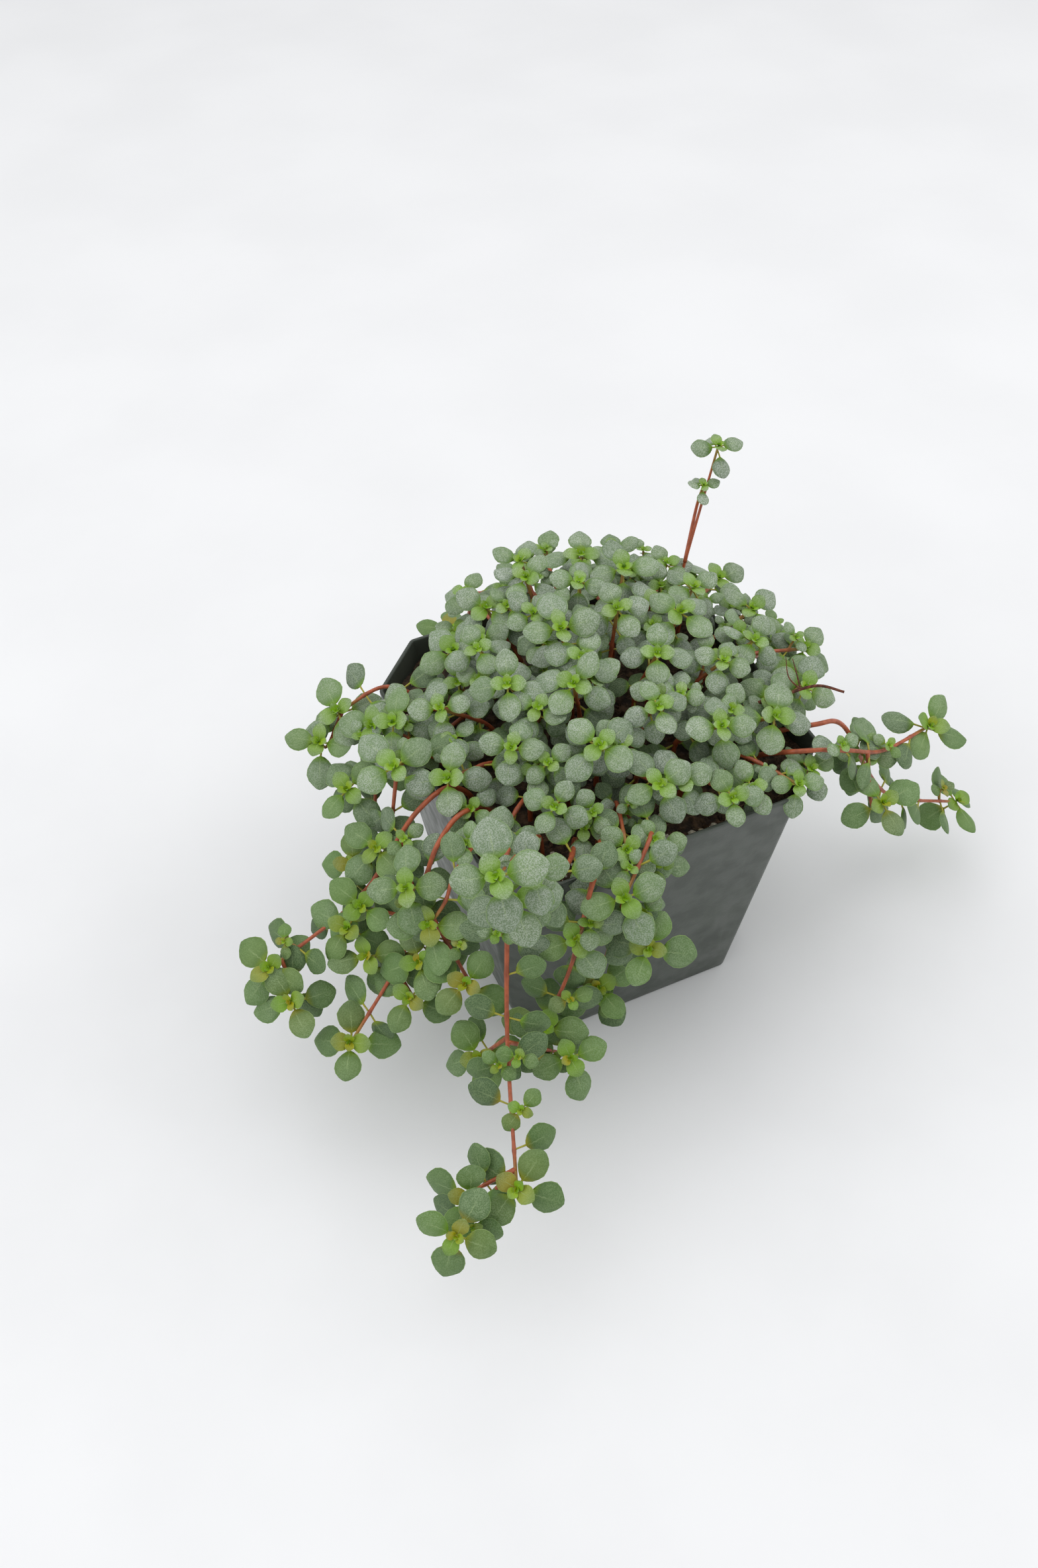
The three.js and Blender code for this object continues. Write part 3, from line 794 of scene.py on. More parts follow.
@dataclass
class Stem:
    """A stem's middle line, with its radius at both ends."""

    line: Array
    foot_radius: float
    tip_radius: float
    joints: list[float] = field(default_factory=list)
    joint_length: float = 0.8
    joint_swell: float = 0.28
    ripe_after: float = 30.0

    @property
    def length(self) -> float:
        """Its length along itself."""
        return float(run_along(self.line)[-1])

    def at(self, distance: float) -> Array:
        """The point at a distance from its foot."""
        run = run_along(self.line)
        return np.array([np.interp(distance, run, self.line[:, i]) for i in range(3)])

    def heading(self, distance: float) -> Array:
        """The way it grows at a distance from its foot."""
        return unit(self.at(distance + 0.6) - self.at(distance - 0.6))

    def surface(self) -> Surface:
        """A tube that tapers evenly from foot to tip and swells like a bell curve at each joint."""
        run = run_along(self.line)
        share = run / run[-1]
        swell = np.zeros(len(run))
        for joint in self.joints:
            swell = np.maximum(swell, np.exp(-(((run - joint) / self.joint_length) ** 2)))
        radii = self.foot_radius + (self.tip_radius - self.foot_radius) * share
        radii = radii * (1 + self.joint_swell * swell)
        age = np.clip((run[-1] - run) / self.ripe_after, 0, 1)
        return tube(self.line, radii, 8, {"age": age, "joint": swell}, 1)


@dataclass(frozen=True)
class Joints:
    """Where a stem bears leaf pairs.

    Joints are about spacing apart, from first below the stem's tip to last above its foot, and there are at
    most this many. The chance that a leaf has a sprig over it is bushy.
    """

    spacing: float
    first: float
    last: float
    most: int
    bushy: float


TRAILING_JOINTS = Joints(11.0, 9.0, 6.0, 9, 0.2)
CROWN_JOINTS = Joints(6.5, 5.5, 8.0, 3, 0.16)
BACK_JOINTS = Joints(7.0, 6.5, 9.0, 1, 0.3)
BACK_EDGE = 38.0                   # crown rosettes behind this line have fewer and smaller pairs
BACK_LEAF = 0.85
BARE_SHARE = 0.34                  # how much of a trailing leader is bare from its foot


def splay(degrees: float, rise: float, normal: Array) -> tuple[Array, Array, Array]:
    """How a leaf lies against the plane that its stem's end faces.

    Args:
        degrees: Its heading.
        rise: How far it is lifted out of the plane, in degrees.
        normal: The way that the plane faces.

    Returns:
        Its heading in the plane, the way that it points and the way that its upper face looks.
    """
    turn, lift = math.radians(degrees), math.radians(rise)
    heading = np.array([math.cos(turn), math.sin(turn), 0])
    flat = unit(heading - normal * (heading @ normal))
    out = math.cos(lift) * flat + math.sin(lift) * normal
    return flat, out, math.cos(lift) * normal - math.sin(lift) * flat


@dataclass
class Shoot:
    """One shoot: a leader, its branches, their rosettes, and leaf pairs and sprigs along them.

    via holds the points that the leader passes, and rosettes a row of x, y, z, heading and leaf length for
    each stem, the leader's first.
    """

    name: str
    node: str
    root: list[float]
    via: list[list[float]]
    rosettes: list[list[float]]
    trails: bool
    seed: int
    bare: bool = False
    foot_radius: float = 0.78
    tip_radius: float = 0.45
    step: float = 1.1
    turn_stray: float = 5.0
    rise_stray: float = 8.0
    roll_stray: float = 11.0
    joint_stray: float = 9.0
    leaf_chance: float = 0.92

    def __post_init__(self) -> None:
        """Grows the bare stems."""
        self.rng = np.random.default_rng(self.seed)
        self.bed = LeafBed(np.random.default_rng(self.seed + LEAF_SEED))
        x, y = self.root
        foot, end = (0.55, 0.35) if self.bare else (self.foot_radius, self.tip_radius)
        first = self.rosettes[0]
        route = [[x, y, SOIL_TOP - ROOT_DEPTH], [x, y, SOIL_TOP + ROOT_RISE], *self.via, first[:3]]
        self.leader = Stem(curve_through(route, self.step), foot, end)
        self.parts = [self.leader]
        self.tips: list[tuple[Stem, list[float]]] = [(self.leader, first)]
        for tip in self.rosettes[1:]:
            self.fork(tip)

    def fork(self, tip: list[float]) -> None:
        """Grows a branch from the leader to a rosette.

        A trailing leader forks near its closest point, and a crown one a fixed share of the way up.
        """
        run = run_along(self.leader.line)
        nearest = run[np.argmin(np.linalg.norm(self.leader.line - tip[:3], axis=1))] / run[-1]
        share = max(LEAST_FORK, nearest + TRAILING_FORK) if self.trails else CROWN_FORK
        self.grow(self.leader.at(share * run[-1]), tip, BRANCH_RADIUS)

    def grow(self, foot: Array, tip: list[float], radius: float) -> None:
        """Adds one branch's stem, turned up at its end to the way that its rosette faces.

        Args:
            foot: Where it leaves the leader.
            tip: Its rosette.
            radius: Its radius at its foot.
        """
        end = np.array(tip[:3], float)
        before = end - facing(end) * BRANCH_TURN_UP * np.linalg.norm(end - foot)
        stem = Stem(curve_through([foot, before, end], self.step * 0.8), radius, BRANCH_TIP_RADIUS)
        self.parts.append(stem)
        self.tips.append((stem, tip))

    def silver(self, point: Array) -> float:
        """How silvery leaves are here: most on top of the crown, least low on the trailing stems; the falloff
        with height is partly the low leaves' own greener colour and partly painted shade on them.
        """
        return float(np.clip(0.5 + 0.42 * (point[2] - 66) / 36, 0.46, 0.92))

    def rosette(self, point: Array, degrees: float, leaf: float, pairs: Sequence[Pair],
                normal: Array) -> None:
        """Adds a rosette's leaf pairs.

        Args:
            point: Its middle.
            degrees: The heading of its first pair.
            leaf: Its leaf length.
            pairs: Its pairs.
            normal: The way that it faces.
        """
        rng = self.rng
        for pair in pairs:
            for half in (0, 180):
                turn = degrees + pair.turn + half + rng.normal(0, self.turn_stray)
                _, out, up = splay(turn, pair.rise + rng.normal(0, self.rise_stray), normal)
                roll = math.radians(rng.normal(0, self.roll_stray))
                up = unit(math.cos(roll) * up + math.sin(roll) * np.cross(out, up))
                size = leaf * pair.size * rng.uniform(0.92, 1.06)
                cup = pair.cup + rng.normal(0, 0.03)
                silver = self.silver(point) * rng.uniform(0.75, 1.1)
                self.bed.add(point + normal * pair.height * leaf, out, up, size, leaf * pair.stalk,
                             pair.young, cup, silver, rng.uniform(0.3, 1.0))

    def sprig(self, foot: Array, away: Array, reach: float, leaf: float) -> None:
        """Grows a short side sprig with a small rosette.

        Args:
            foot: Where it leaves the stem.
            away: The way that it leaves.
            reach: Its length.
            leaf: Its leaf length.
        """
        normal = facing(foot)
        end = foot + unit(away + 0.9 * normal) * reach
        line = curve_through([foot, foot + unit(away + 0.2 * normal) * reach * 0.5, end], 0.9)
        self.parts.append(Stem(line, 0.4, 0.28))
        self.rosette(end, self.rng.uniform(0, 180), leaf, SMALL_ROSETTE, normal)

    def pairs_along(self, stem: Stem, degrees: float, leaf: float, joints: Joints) -> None:
        """Adds leaf pairs down a stem, each about a quarter turn from the last, and some sprigs.

        Args:
            stem: The stem.
            degrees: The heading of the rosette's first pair.
            leaf: The leaf length.
            joints: Where the joints are.
        """
        rng = self.rng
        down, turn = joints.first, degrees + 90
        while stem.length - down > joints.last and len(stem.joints) < joints.most:
            distance = stem.length - down
            point, growth = stem.at(distance), stem.heading(distance)
            normal = unit(facing(point) + (0.5 if self.trails else 0.25) * growth)
            stem.joints.append(distance)
            for half in (0, 180):
                angle = turn + half + rng.normal(0, self.joint_stray)
                rise = rng.normal(-4 if self.trails else -12, self.joint_stray)
                flat, out, up = splay(angle, rise, normal)
                if rng.random() < self.leaf_chance:
                    length, stalk = leaf * rng.uniform(0.82, 1.02), leaf * rng.uniform(0.3, 0.42)
                    # Joint leaves lie below the rosettes: their flesh is darker and their silver less, partly
                    # as older leaves and partly as painted shade.
                    cup, silver = rng.normal(-0.2, 0.06), self.silver(point) * rng.uniform(0.6, 1.0)
                    self.bed.add(point, out, up, length, stalk, 0.0, cup, silver, rng.uniform(0.0, 0.7))
                if rng.random() < joints.bushy:
                    self.sprig(point, flat, rng.uniform(2.5, 5.5), leaf * rng.uniform(0.42, 0.62))
            turn += 90 + rng.normal(0, 8)
            down += joints.spacing * rng.uniform(0.85, 1.15)

    def dress(self) -> None:
        """Adds the rosettes, and leaf pairs and sprigs to all but a bare shoot."""
        for stem, (x, y, z, degrees, leaf) in self.tips:
            point = np.array([x, y, z], float)
            self.rosette(point, degrees, leaf, ROSETTE, facing(point))
            if self.trails:
                last = BARE_SHARE * stem.length if stem is self.leader else TRAILING_JOINTS.last
                self.pairs_along(stem, degrees, leaf, replace(TRAILING_JOINTS, last=last))
            elif y > BACK_EDGE and not self.bare:
                self.pairs_along(stem, degrees, leaf * BACK_LEAF, BACK_JOINTS)
            elif not self.bare:
                self.pairs_along(stem, degrees, leaf, CROWN_JOINTS)

    def build(self, materials: list[bpy.types.Material]) -> bpy.types.Object:
        """The shoot's mesh, which stands for its CAD node."""
        surfaces = [self.bed.surface(), *(stem.surface() for stem in self.parts)]
        piece = make_piece(self.name, surfaces, materials)
        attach(piece, "root")
        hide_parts(self.node)
        log.info("%s: %d leaves on %d stems", self.name, len(self.bed.rows), len(self.parts))
        return piece


# ------------------------------------------------------------------------------------------
# Sub-assemblies
# ------------------------------------------------------------------------------------------


@dataclass
class Pot:
    """The square nursery pot: cut corners, an even taper, a thin rolled rim and four drain holes."""

    wall: float = 1.2
    floor: float = 1.6
    round_: float = 2.4
    drain_radius: float = 4.0
    drain_offset: float = 20.0
    drain_sides: int = 24
    crease: float = 40.0

    def __post_init__(self) -> None:
        """Reads the pot's size from its CAD node."""
        low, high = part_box("pot")
        self.half = high.x / MM
        self.height = high.z / MM

    def outline(self, inset: Array, height: Array, steps: int = 5) -> Array:
        """The pot's outline at each height: straight sides joined by arcs.

        The eight arc centres are the corners of an octagon drawn in by the arc's radius, and each arc spans
        the eighth of a turn between the normals of its two sides. All of it shrinks evenly towards the base.

        Args:
            inset: How far each outline is drawn in from the pot's outer face.
            height: Its height.
            steps: The number of steps in each arc.

        Returns:
            The points, as outlines of rows of x, y, z.
        """
        radius = np.maximum(self.round_ - inset, 0.3)[:, None, None]
        flat = self.half - inset[:, None, None] - radius
        slant = (2 * self.half - POT_CORNER) / math.sqrt(2) - inset[:, None, None] - radius
        short = math.sqrt(2) * slant - flat
        quarter = np.arange(8) // 2 * math.pi / 2
        first = (np.arange(8) % 2 == 0)[None, :, None]
        a, b = np.where(first, flat, short), np.where(first, short, flat)
        cos, sin = np.cos(quarter)[None, :, None], np.sin(quarter)[None, :, None]
        turn = (np.arange(8)[:, None] + np.linspace(0, 1, steps)[None]) * math.pi / 4
        x = cos * a - sin * b + radius * np.cos(turn)[None]
        y = sin * a + cos * b + radius * np.sin(turn)[None]
        share = taper(height, self.height)[:, None, None]
        z = np.broadcast_to(height[:, None, None], x.shape)
        return np.stack([x * share, y * share, z], -1).reshape(len(height), -1, 3)

    def build(self) -> bpy.types.Object:
        """The pot's mesh: its outline carried up the outer wall, over the rim and down to the floor."""
        top, wall, floor = self.height, self.wall, self.floor
        outer = [[1.6, 0], [0.7, 0.12], [0.2, 0.45], [0, 1.2], [0, 20], [0, 42], [0, 64], [0, top - 1.6]]
        lip = [[0.02, top - 0.5], [0.18, top - 0.14], [0.45, top],
               [wall - 0.4, top], [wall - 0.15, top - 0.14], [wall, top - 0.5]]
        inner = [[wall, top - 6], [wall, 40], [wall, floor + 1.4],
                 [wall + 0.3, floor + 0.4], [wall + 1.4, floor]]
        profile = np.array([*outer, *lip, *inner])
        rings = self.outline(profile[:, 0], profile[:, 1])
        sides = rings.shape[1]
        caps = [np.arange(sides)[::-1][None], np.arange(sides)[None] + (len(rings) - 1) * sides]
        shell = Surface(rings.reshape(-1, 3), [ring_faces(len(rings), sides), *caps])
        piece = make_piece("moulded_pot", [shell], [PotFinish().make()])
        self.cut_drains(piece)
        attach(piece, "root")
        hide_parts("pot")
        log.info("moulded_pot: %.1f mm high", self.height)
        return piece

    def cut_drains(self, piece: bpy.types.Object) -> None:
        """Cuts the drain holes through the floor, and keeps edges sharper than the crease angle crisp."""
        sides = self.drain_sides
        turn = np.linspace(0, 2 * math.pi, sides, endpoint=False)
        bars = []
        for x in (-self.drain_offset, self.drain_offset):
            for y in (-self.drain_offset, self.drain_offset):
                ring = [x, y, 0] + self.drain_radius * np.stack([np.cos(turn), np.sin(turn), 0 * turn], 1)
                points = np.vstack([ring - UP, ring + (self.floor + 1) * UP])
                ends = [np.arange(sides)[::-1][None], np.arange(sides)[None] + sides]
                bars.append(Surface(points, [ring_faces(2, sides), *ends]))
        cutter = make_piece("drain_cutter", bars, [])
        cut = piece.modifiers.new("drains", "BOOLEAN")
        cut.operation, cut.solver, cut.object = "DIFFERENCE", "EXACT", cutter
        bpy.context.view_layer.update()
        done = bpy.data.meshes.new_from_object(piece.evaluated_get(bpy.context.evaluated_depsgraph_get()))
        piece.modifiers.clear()
        piece.data = done
        bpy.data.objects.remove(cutter)
        done.shade_smooth()
        done.set_sharp_from_angle(angle=math.radians(self.crease))


@dataclass
class Soil:
    """The potting mix, with its perlite and bark crumbs."""

    inset: float = 1.5
    floor: float = 2.0
    rumple: float = 0.8
    grain_limit: float = 0.93
    seed: int = 7

    def __post_init__(self) -> None:
        """Reads the pot's and the soil's size from their CAD nodes."""
        self.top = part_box("soil")[1].z / MM
        self.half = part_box("pot")[1].x / MM
        self.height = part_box("pot")[1].z / MM

    def level(self, points: Array) -> Array:
        """The soil's height over its mean level: three layers of noise, from clods to crumbs."""
        return (1.1 * lattice_noise(points, 9.0, 1) + 0.7 * lattice_noise(points, 3.2, 2)
                + 0.45 * lattice_noise(points, 1.3, 3))

    def build(self) -> list[bpy.types.Object]:
        """The soil, a rumpled disc closed underneath, and its grains."""
        sides, rings = 200, 56
        turn = np.linspace(0, 2 * math.pi, sides, endpoint=False)
        reach = wall_reach(turn, self.half, self.inset)
        share = np.concatenate([np.linspace(0.02, 1, rings), np.ones(2), [0.5]])
        height = np.concatenate([np.full(rings, self.top), [40.0, self.floor, self.floor]])
        width = (share * taper(height, self.height))[:, None, None]
        flat = width * np.stack([np.cos(turn) * reach, np.sin(turn) * reach], -1)[None]
        grid = np.concatenate([flat, np.broadcast_to(height[:, None, None], (*flat.shape[:2], 1))], -1)
        rough = self.level(grid[:rings].reshape(-1, 3)).reshape(rings, sides)
        grid[:rings, :, 2] += rough * self.rumple
        points = np.vstack([grid[::-1].reshape(-1, 3), [[0, 0, self.floor], [0, 0, self.top]]])
        count = len(grid) * sides
        k = np.arange(sides)
        low = np.stack([np.full(sides, count), (k + 1) % sides, k], 1)
        high = np.stack([np.full(sides, count + 1), k + count - sides, (k + 1) % sides + count - sides], 1)
        bed = make_piece("potting_bed", [Surface(points, [ring_faces(len(grid), sides), low, high])],
                         [SoilFinish().make()])
        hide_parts("soil")
        perlite = self.grains("perlite", 1.0, (1.0, 1.0, 1.0), paint(226, 220, 205), paint(196, 186, 160))
        bark = self.grains("bark_crumbs", 3.0, (1.5, 0.7, 0.45), paint(84, 58, 36), paint(44, 32, 22))
        pieces = [bed, perlite, bark]
        for piece in pieces:
            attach(piece, "root")
            log.info("%s: %d faces", piece.name, len(piece.data.polygons))
        return pieces

    def grains(self, name: str, crowd: float, stretch: tuple[float, float, float], pale: Colour,
               dull: Colour) -> bpy.types.Object:
        """Grains scattered on the soil.

        Args:
            name: The piece's name.
            crowd: How many there are, as a multiple of the number in the perlite's beds.
            stretch: How much longer each of their half sizes is than a plain grain's.
            pale: Their lightest shade.
            dull: Their darkest shade.

        Returns:
            The grains, as one piece.
        """
        rng = np.random.default_rng(self.seed + len(name))
        beds = np.array(PERLITE_BEDS)
        number = (beds[:, 3] * crowd).astype(int)
        middle = np.repeat(beds[:, :2], number, axis=0)
        spot = middle + rng.normal(0, 0.5, middle.shape) * np.repeat(beds[:, 2:3], number, axis=0)
        turn = np.arctan2(spot[:, 1], spot[:, 0])
        far = np.linalg.norm(spot, axis=1)
        limit = wall_reach(turn, self.half, self.inset) * self.grain_limit
        spot *= np.minimum(1, limit / np.maximum(far, 1e-6))[:, None]
        spot = np.hstack([spot, np.full((len(spot), 1), self.top)])
        size = rng.uniform(0.35, 1.15, (len(spot), 1)) * rng.uniform(0.7, 1.2, (len(spot), 3)) * stretch
        spot[:, 2] += self.rumple * self.level(spot) + 0.25
        finish = GrainFinish(name + "_grain", pale, dull)
        return make_piece(name, [blobs(spot, size, 0.16, rng)], [finish.make()])


@dataclass
class WitheredStem:
    """The dead stem and the dry roots that curl from it: each root's bend and end are given from its fork."""

    radii: tuple[float, float] = (0.62, 0.34)
    root_radii: tuple[float, float] = (0.26, 0.1)
    fork_share: float = 0.68
    roots: tuple[tuple[tuple[float, ...], tuple[float, ...]], ...] = (
        ((-2, 3, 2.5), (-1, 7, 6)),
        ((1, 4, 2), (2, 8, 3.5)),
    )

    def build(self) -> bpy.types.Object:
        """The stem and its roots as tubes that thin towards their ends."""
        stem = curve_through(WITHERED_ROUTE, 0.9)
        parts = [tube(stem, np.linspace(*self.radii, len(stem)), 8, {}, 0)]
        fork = stem[int(self.fork_share * len(stem))]
        for bend, end in self.roots:
            line = curve_through([fork, fork + bend, fork + end], 0.5)
            parts.append(tube(line, np.linspace(*self.root_radii, len(line)), 6, {}, 0))
        piece = make_piece("dry_stem", parts, [DryFinish().make()])
        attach(piece, "root")
        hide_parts("withered_stem")
        log.info("dry_stem: %d parts", len(parts))
        return piece


@dataclass(frozen=True)
class Crown:
    """The crown's layout, as in the CAD source: a sunflower spiral under a dome, less a bare corner.

    The infill fields lay out the side sprigs, which only this model has.
    """

    shoots: int = 40
    start: float = 32.0
    middle: tuple[float, float] = (3.0, 2.0)
    reach: float = 62.0
    level: float = 87.0
    rise: float = 27.0
    bare_heading: float = 138.0
    bare_spread: float = 24.0
    bare_depth: float = 14.0
    ripple: float = 2.5
    ripple_step: float = 2.4
    leaf: float = 7.0
    leaf_spread: float = 1.0
    leaf_step: float = 1.7
    side_turn: float = 110.0
    side_reach: float = 9.5
    side_drop: float = 3.0
    side_leaf: float = 0.85
    side_pair_turn: float = 60.0
    infill_turn: float = 61.0
    infill_reach: float = 0.97
    infill_ripple: float = 2.0
    infill_ripple_step: float = 3.1
    infill_leaf: float = 5.8
    infill_leaf_spread: float = 0.7
    infill_leaf_step: float = 2.3
    infill_pair_turn: int = 101

    def spot(self, heading: float, spread: float) -> list[float]:
        """A place on the dome.

        The dome falls from the middle by the square of the spread, and a bell curve draws it in at its bare
        corner.

        Args:
            heading: Its heading in degrees.
            spread: Its distance from the middle, as a share of the crown's reach there.

        Returns:
            The place as x, y, z.
        """
        off = (heading - self.bare_heading + 180) % 360 - 180
        reach = self.reach - self.bare_depth * math.exp(-((off / self.bare_spread) ** 2))
        x, y, z = polar(heading, spread * reach, self.level + self.rise * (1 - spread**2))
        return [x + self.middle[0], y + self.middle[1], z]

    def tips(self, i: int) -> list[list[float]]:
        """The rosettes of one shoot: the leader's, and on every other shoot a smaller one at its side."""
        heading = self.start + GOLDEN_TURN * i
        x, y, z = self.spot(heading, math.sqrt((i + 0.5) / self.shoots))
        z += self.ripple * math.sin(self.ripple_step * i)
        leaf = self.leaf + self.leaf_spread * math.sin(self.leaf_step * i)
        turn = (PAIR_TURN * i) % 360
        if i % 2 == 0:
            return [[x, y, z, turn, leaf]]
        aside, ahead, _ = polar(heading + self.side_turn, self.side_reach, 0)
        side = [x + aside, y + ahead, z - self.side_drop, turn + self.side_pair_turn, leaf * self.side_leaf]
        return [[x, y, z, turn, leaf], side]

    def infill(self, count: int, drop: float) -> list[list[float]]:
        """Side sprigs between the shoots, on a second spiral that is turned from the first and lies lower.

        Args:
            count: How many there are.
            drop: How far they lie under the dome.

        Returns:
            Each one's x, y, z, heading and leaf length.
        """
        rows = []
        for i in range(count):
            heading = self.start + self.infill_turn + GOLDEN_TURN * i
            x, y, z = self.spot(heading, math.sqrt((i + 0.5) / count) * self.infill_reach)
            z += self.infill_ripple * math.sin(self.infill_ripple_step * i) - drop
            leaf = self.infill_leaf + self.infill_leaf_spread * math.sin(self.infill_leaf_step * i)
            rows.append([x, y, z, (self.infill_pair_turn * i) % 360, leaf])
        return rows


@dataclass(frozen=True)
class Drape:
    """How a trailing leader runs: over the rim, past its shoulder, and down, as in the CAD source."""

    root: float = 43.0
    inside: float = 1.0
    over: float = 90.0
    outside: float = 8.0
    shoulder: float = 86.0
    shoulder_turned: float = 0.25
    hang_turned: float = 0.6
    hang_out: float = 0.4
    hang_down: float = 0.62

    def rim_reach(self, heading: float) -> float:
        """How far the rim is from the pot's middle at a heading."""
        return float(wall_reach(np.radians([heading]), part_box("pot")[1].x / MM)[0])

    def via(self, crossing: float, tip: list[float]) -> list[list[float]]:
        """The points that the leader passes.

        Args:
            crossing: The heading at which it crosses the rim.
            tip: Its rosette's heading, reach and height.

        Returns:
            The points over the rim, at its shoulder and where it has fallen most of the way.
        """
        heading, reach, height = tip
        points = [polar(crossing, self.rim_reach(crossing) - self.inside, self.over)]
        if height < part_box("pot")[1].z / MM:
            turned = heading - crossing
            near = crossing + self.shoulder_turned * turned
            far = crossing + self.hang_turned * turned
            out = self.rim_reach(near) + self.outside
            fallen = self.shoulder - self.hang_down * (self.shoulder - height)
            points.append(polar(near, out, self.shoulder))
            points.append(polar(far, out + self.hang_out * (reach - out), fallen))
        return points


@dataclass
class Plant:
    """All the shoots."""

    shoots: list[Shoot] = field(default_factory=list)
    crown: Crown = Crown()
    drape: Drape = Drape()
    leader_leaf: float = 8.7
    branch_leaf: float = 8.1
    trailing_pair_turn: float = 50.0
    infill: int = 34
    infill_drop: float = 6.5

    @staticmethod
    def root_under(tip: list[float]) -> list[float]:
        """Where a crown shoot is rooted, drawn in from its tip and kept inside the soil."""
        root = np.clip(np.array(tip[:2]) * ROOT_DRAW, -ROOT_LIMIT, ROOT_LIMIT)
        root *= min(1.0, ROOT_DIAGONAL / max(np.abs(root).sum(), 1e-9))
        return [float(root[0]), float(root[1])]

    @staticmethod
    def climb(root: list[float], tip: list[float]) -> list[float]:
        """The point that a crown shoot climbs to first: over the rim where its tip overhangs it."""
        x, y = abs(tip[0]), abs(tip[1])
        over = max(x, y) > OVERHANG_SIDE or x + y > OVERHANG_DIAGONAL
        return [CLIMB_SPREAD * root[0], CLIMB_SPREAD * root[1],
                RIM_CLEARANCE_HEIGHT if over else (SOIL_TOP + tip[2]) / 2]

    def plant(self) -> None:
        """Grows every shoot's stems."""
        rows = [self.crown.tips(i) for i in range(self.crown.shoots)]
        rows += [[[*polar(*tip[:3]), PAIR_TURN, tip[3]] for tip in tips] for tips in STANDOUTS]
        for i, tips in enumerate(rows):
            root = self.root_under(tips[0])
            via = [self.climb(root, tips[0])]
            self.shoots.append(Shoot(f"crown_sprays_{i + 1:02d}", f"crown_shoot_{i + 1:02d}", root, via, tips,
                                     False, i, tips[0][2] > TALL))
        for i, (crossing, tips) in enumerate(TRAILING_SHOOTS):
            root = polar(crossing, self.drape.root, 0)[:2]
            via = self.drape.via(crossing, tips[0])
            leaves = [self.leader_leaf] + [self.branch_leaf] * (len(tips) - 1)
            rosettes = [[*polar(*tip), self.trailing_pair_turn * (i + k), leaf]
                        for k, (tip, leaf) in enumerate(zip(tips, leaves))]
            self.shoots.append(Shoot(f"trailing_sprays_{i + 1:02d}", f"trailing_shoot_{i + 1:02d}", root, via,
                                     rosettes, True, TRAILING_SEED + i))

    def add_sprigs(self) -> None:
        """Grows each side sprig from the nearest point of any leader that lies lower than it."""
        lines = [shoot.leader.line for shoot in self.shoots]
        owner = np.repeat(np.arange(len(lines)), [len(line) for line in lines])
        points = np.vstack(lines)
        for tip in self.crown.infill(self.infill, self.infill_drop):
            end = np.array(tip[:3], float)
            away = np.linalg.norm(points - end, axis=1) + 1e3 * (points[:, 2] > end[2] - SPRIG_DROP)
            best = int(np.argmin(away))
            self.shoots[owner[best]].grow(points[best], tip, SPRIG_RADIUS)

    def build(self) -> list[bpy.types.Object]:
        """Every shoot's piece."""
        self.plant()
        self.add_sprigs()
        materials = [LeafFinish().make(), StemFinish().make()]
        for shoot in self.shoots:
            shoot.dress()
        return [shoot.build(materials) for shoot in self.shoots]


@dataclass(frozen=True)
class Panel:
    """A square light panel that looks at the plant: its place and size in metres and its power in watts."""

    name: str
    place: tuple[float, float, float]
    size: float
    watts: float


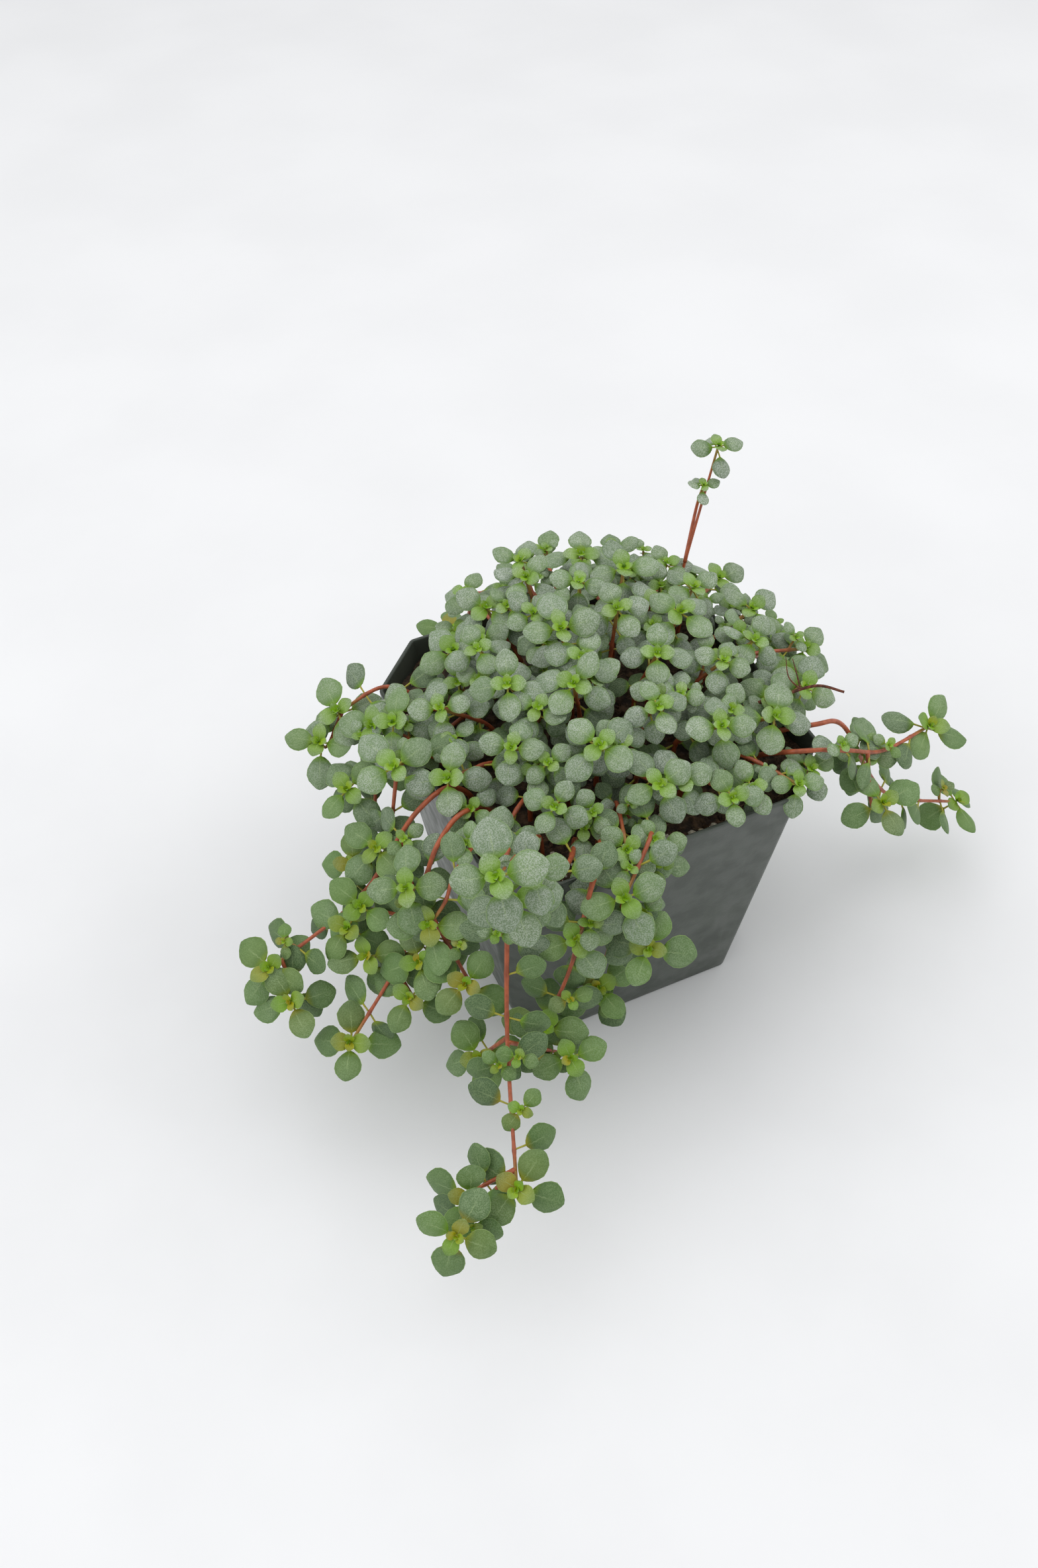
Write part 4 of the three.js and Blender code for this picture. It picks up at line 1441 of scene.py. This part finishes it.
@dataclass
class Studio:
    """A pale tabletop, plain soft light, and a camera above the front left of the pot."""

    panels: tuple[Panel, ...] = (
        Panel("top_panel", (-0.1, 0.3, 1.4), 1.8, 8.4),
        Panel("left_panel", (-1.1, 0.0, 0.85), 1.0, 3.8),
        Panel("right_panel", (1.05, -0.3, 0.9), 1.0, 4.8),
    )
    aim: tuple[float, float, float] = (0.0, 0.0, 0.06)
    room_light: float = 0.55
    tabletop: float = 3000.0
    turn: float = -23.566
    elevation: float = 47.415
    roll: float = -1.3025
    place: tuple[float, float, float] = (-0.13733, -0.26236, 0.37782)
    lens: float = 35.0

    def build(self) -> None:
        """The floor, the lights and the camera."""
        corners = self.tabletop * np.array([[-1, -1, 0], [1, -1, 0], [1, 1, 0], [-1, 1, 0]], float)
        floor = make_piece("tabletop", [Surface(corners, [np.arange(4)[None]])], [TableFinish().make()])
        for panel in self.panels:
            self.light(panel)
        world = bpy.data.worlds.new("soft_room")
        bpy.context.scene.world = world
        world.use_nodes = True
        shade = world.node_tree.nodes["Background"]
        shade.inputs["Color"].default_value = (1.0, 1.0, 1.0, 1.0)
        shade.inputs["Strength"].default_value = self.room_light
        bpy.context.scene.view_settings.view_transform = "Standard"
        self.camera()

    def light(self, panel: Panel) -> None:
        """Places one light panel."""
        data = bpy.data.lights.new(panel.name, "AREA")
        data.size, data.energy = panel.size, panel.watts
        lamp = bpy.data.objects.new(panel.name, data)
        back = unit(np.array(panel.place) - self.aim)
        lamp.matrix_world = Matrix.Translation(panel.place) @ self.look(back, 0.0)
        bpy.context.scene.collection.objects.link(lamp)

    @staticmethod
    def look(back: Array, roll: float) -> Matrix:
        """The turn that looks along minus back, rolled about it by an angle in radians."""
        right = unit(np.cross(UP, back))
        up = np.cross(back, right)
        side = math.cos(roll) * right + math.sin(roll) * up
        top = np.cross(back, side)
        return Matrix(np.stack([side, top, back], 1).tolist()).to_4x4()

    def camera(self) -> None:
        """Places the camera."""
        turn, rise = math.radians(self.turn), math.radians(self.elevation)
        back = np.array([math.sin(turn) * math.cos(rise), -math.cos(turn) * math.cos(rise), math.sin(rise)])
        data = bpy.data.cameras.new("camera")
        data.lens, data.sensor_width = self.lens, 36.0
        data.clip_start, data.clip_end = 0.01, 20.0
        eye = bpy.data.objects.new("camera", data)
        eye.matrix_world = Matrix.Translation(self.place) @ self.look(back, math.radians(self.roll))
        bpy.context.scene.collection.objects.link(eye)
        bpy.context.scene.camera = eye


def main() -> None:
    """Builds everything in order."""
    logging.basicConfig(level=logging.INFO, format="%(message)s")
    Studio().build()
    Pot().build()
    Soil().build()
    WitheredStem().build()
    Plant().build()


if __name__ == "__main__":
    main()
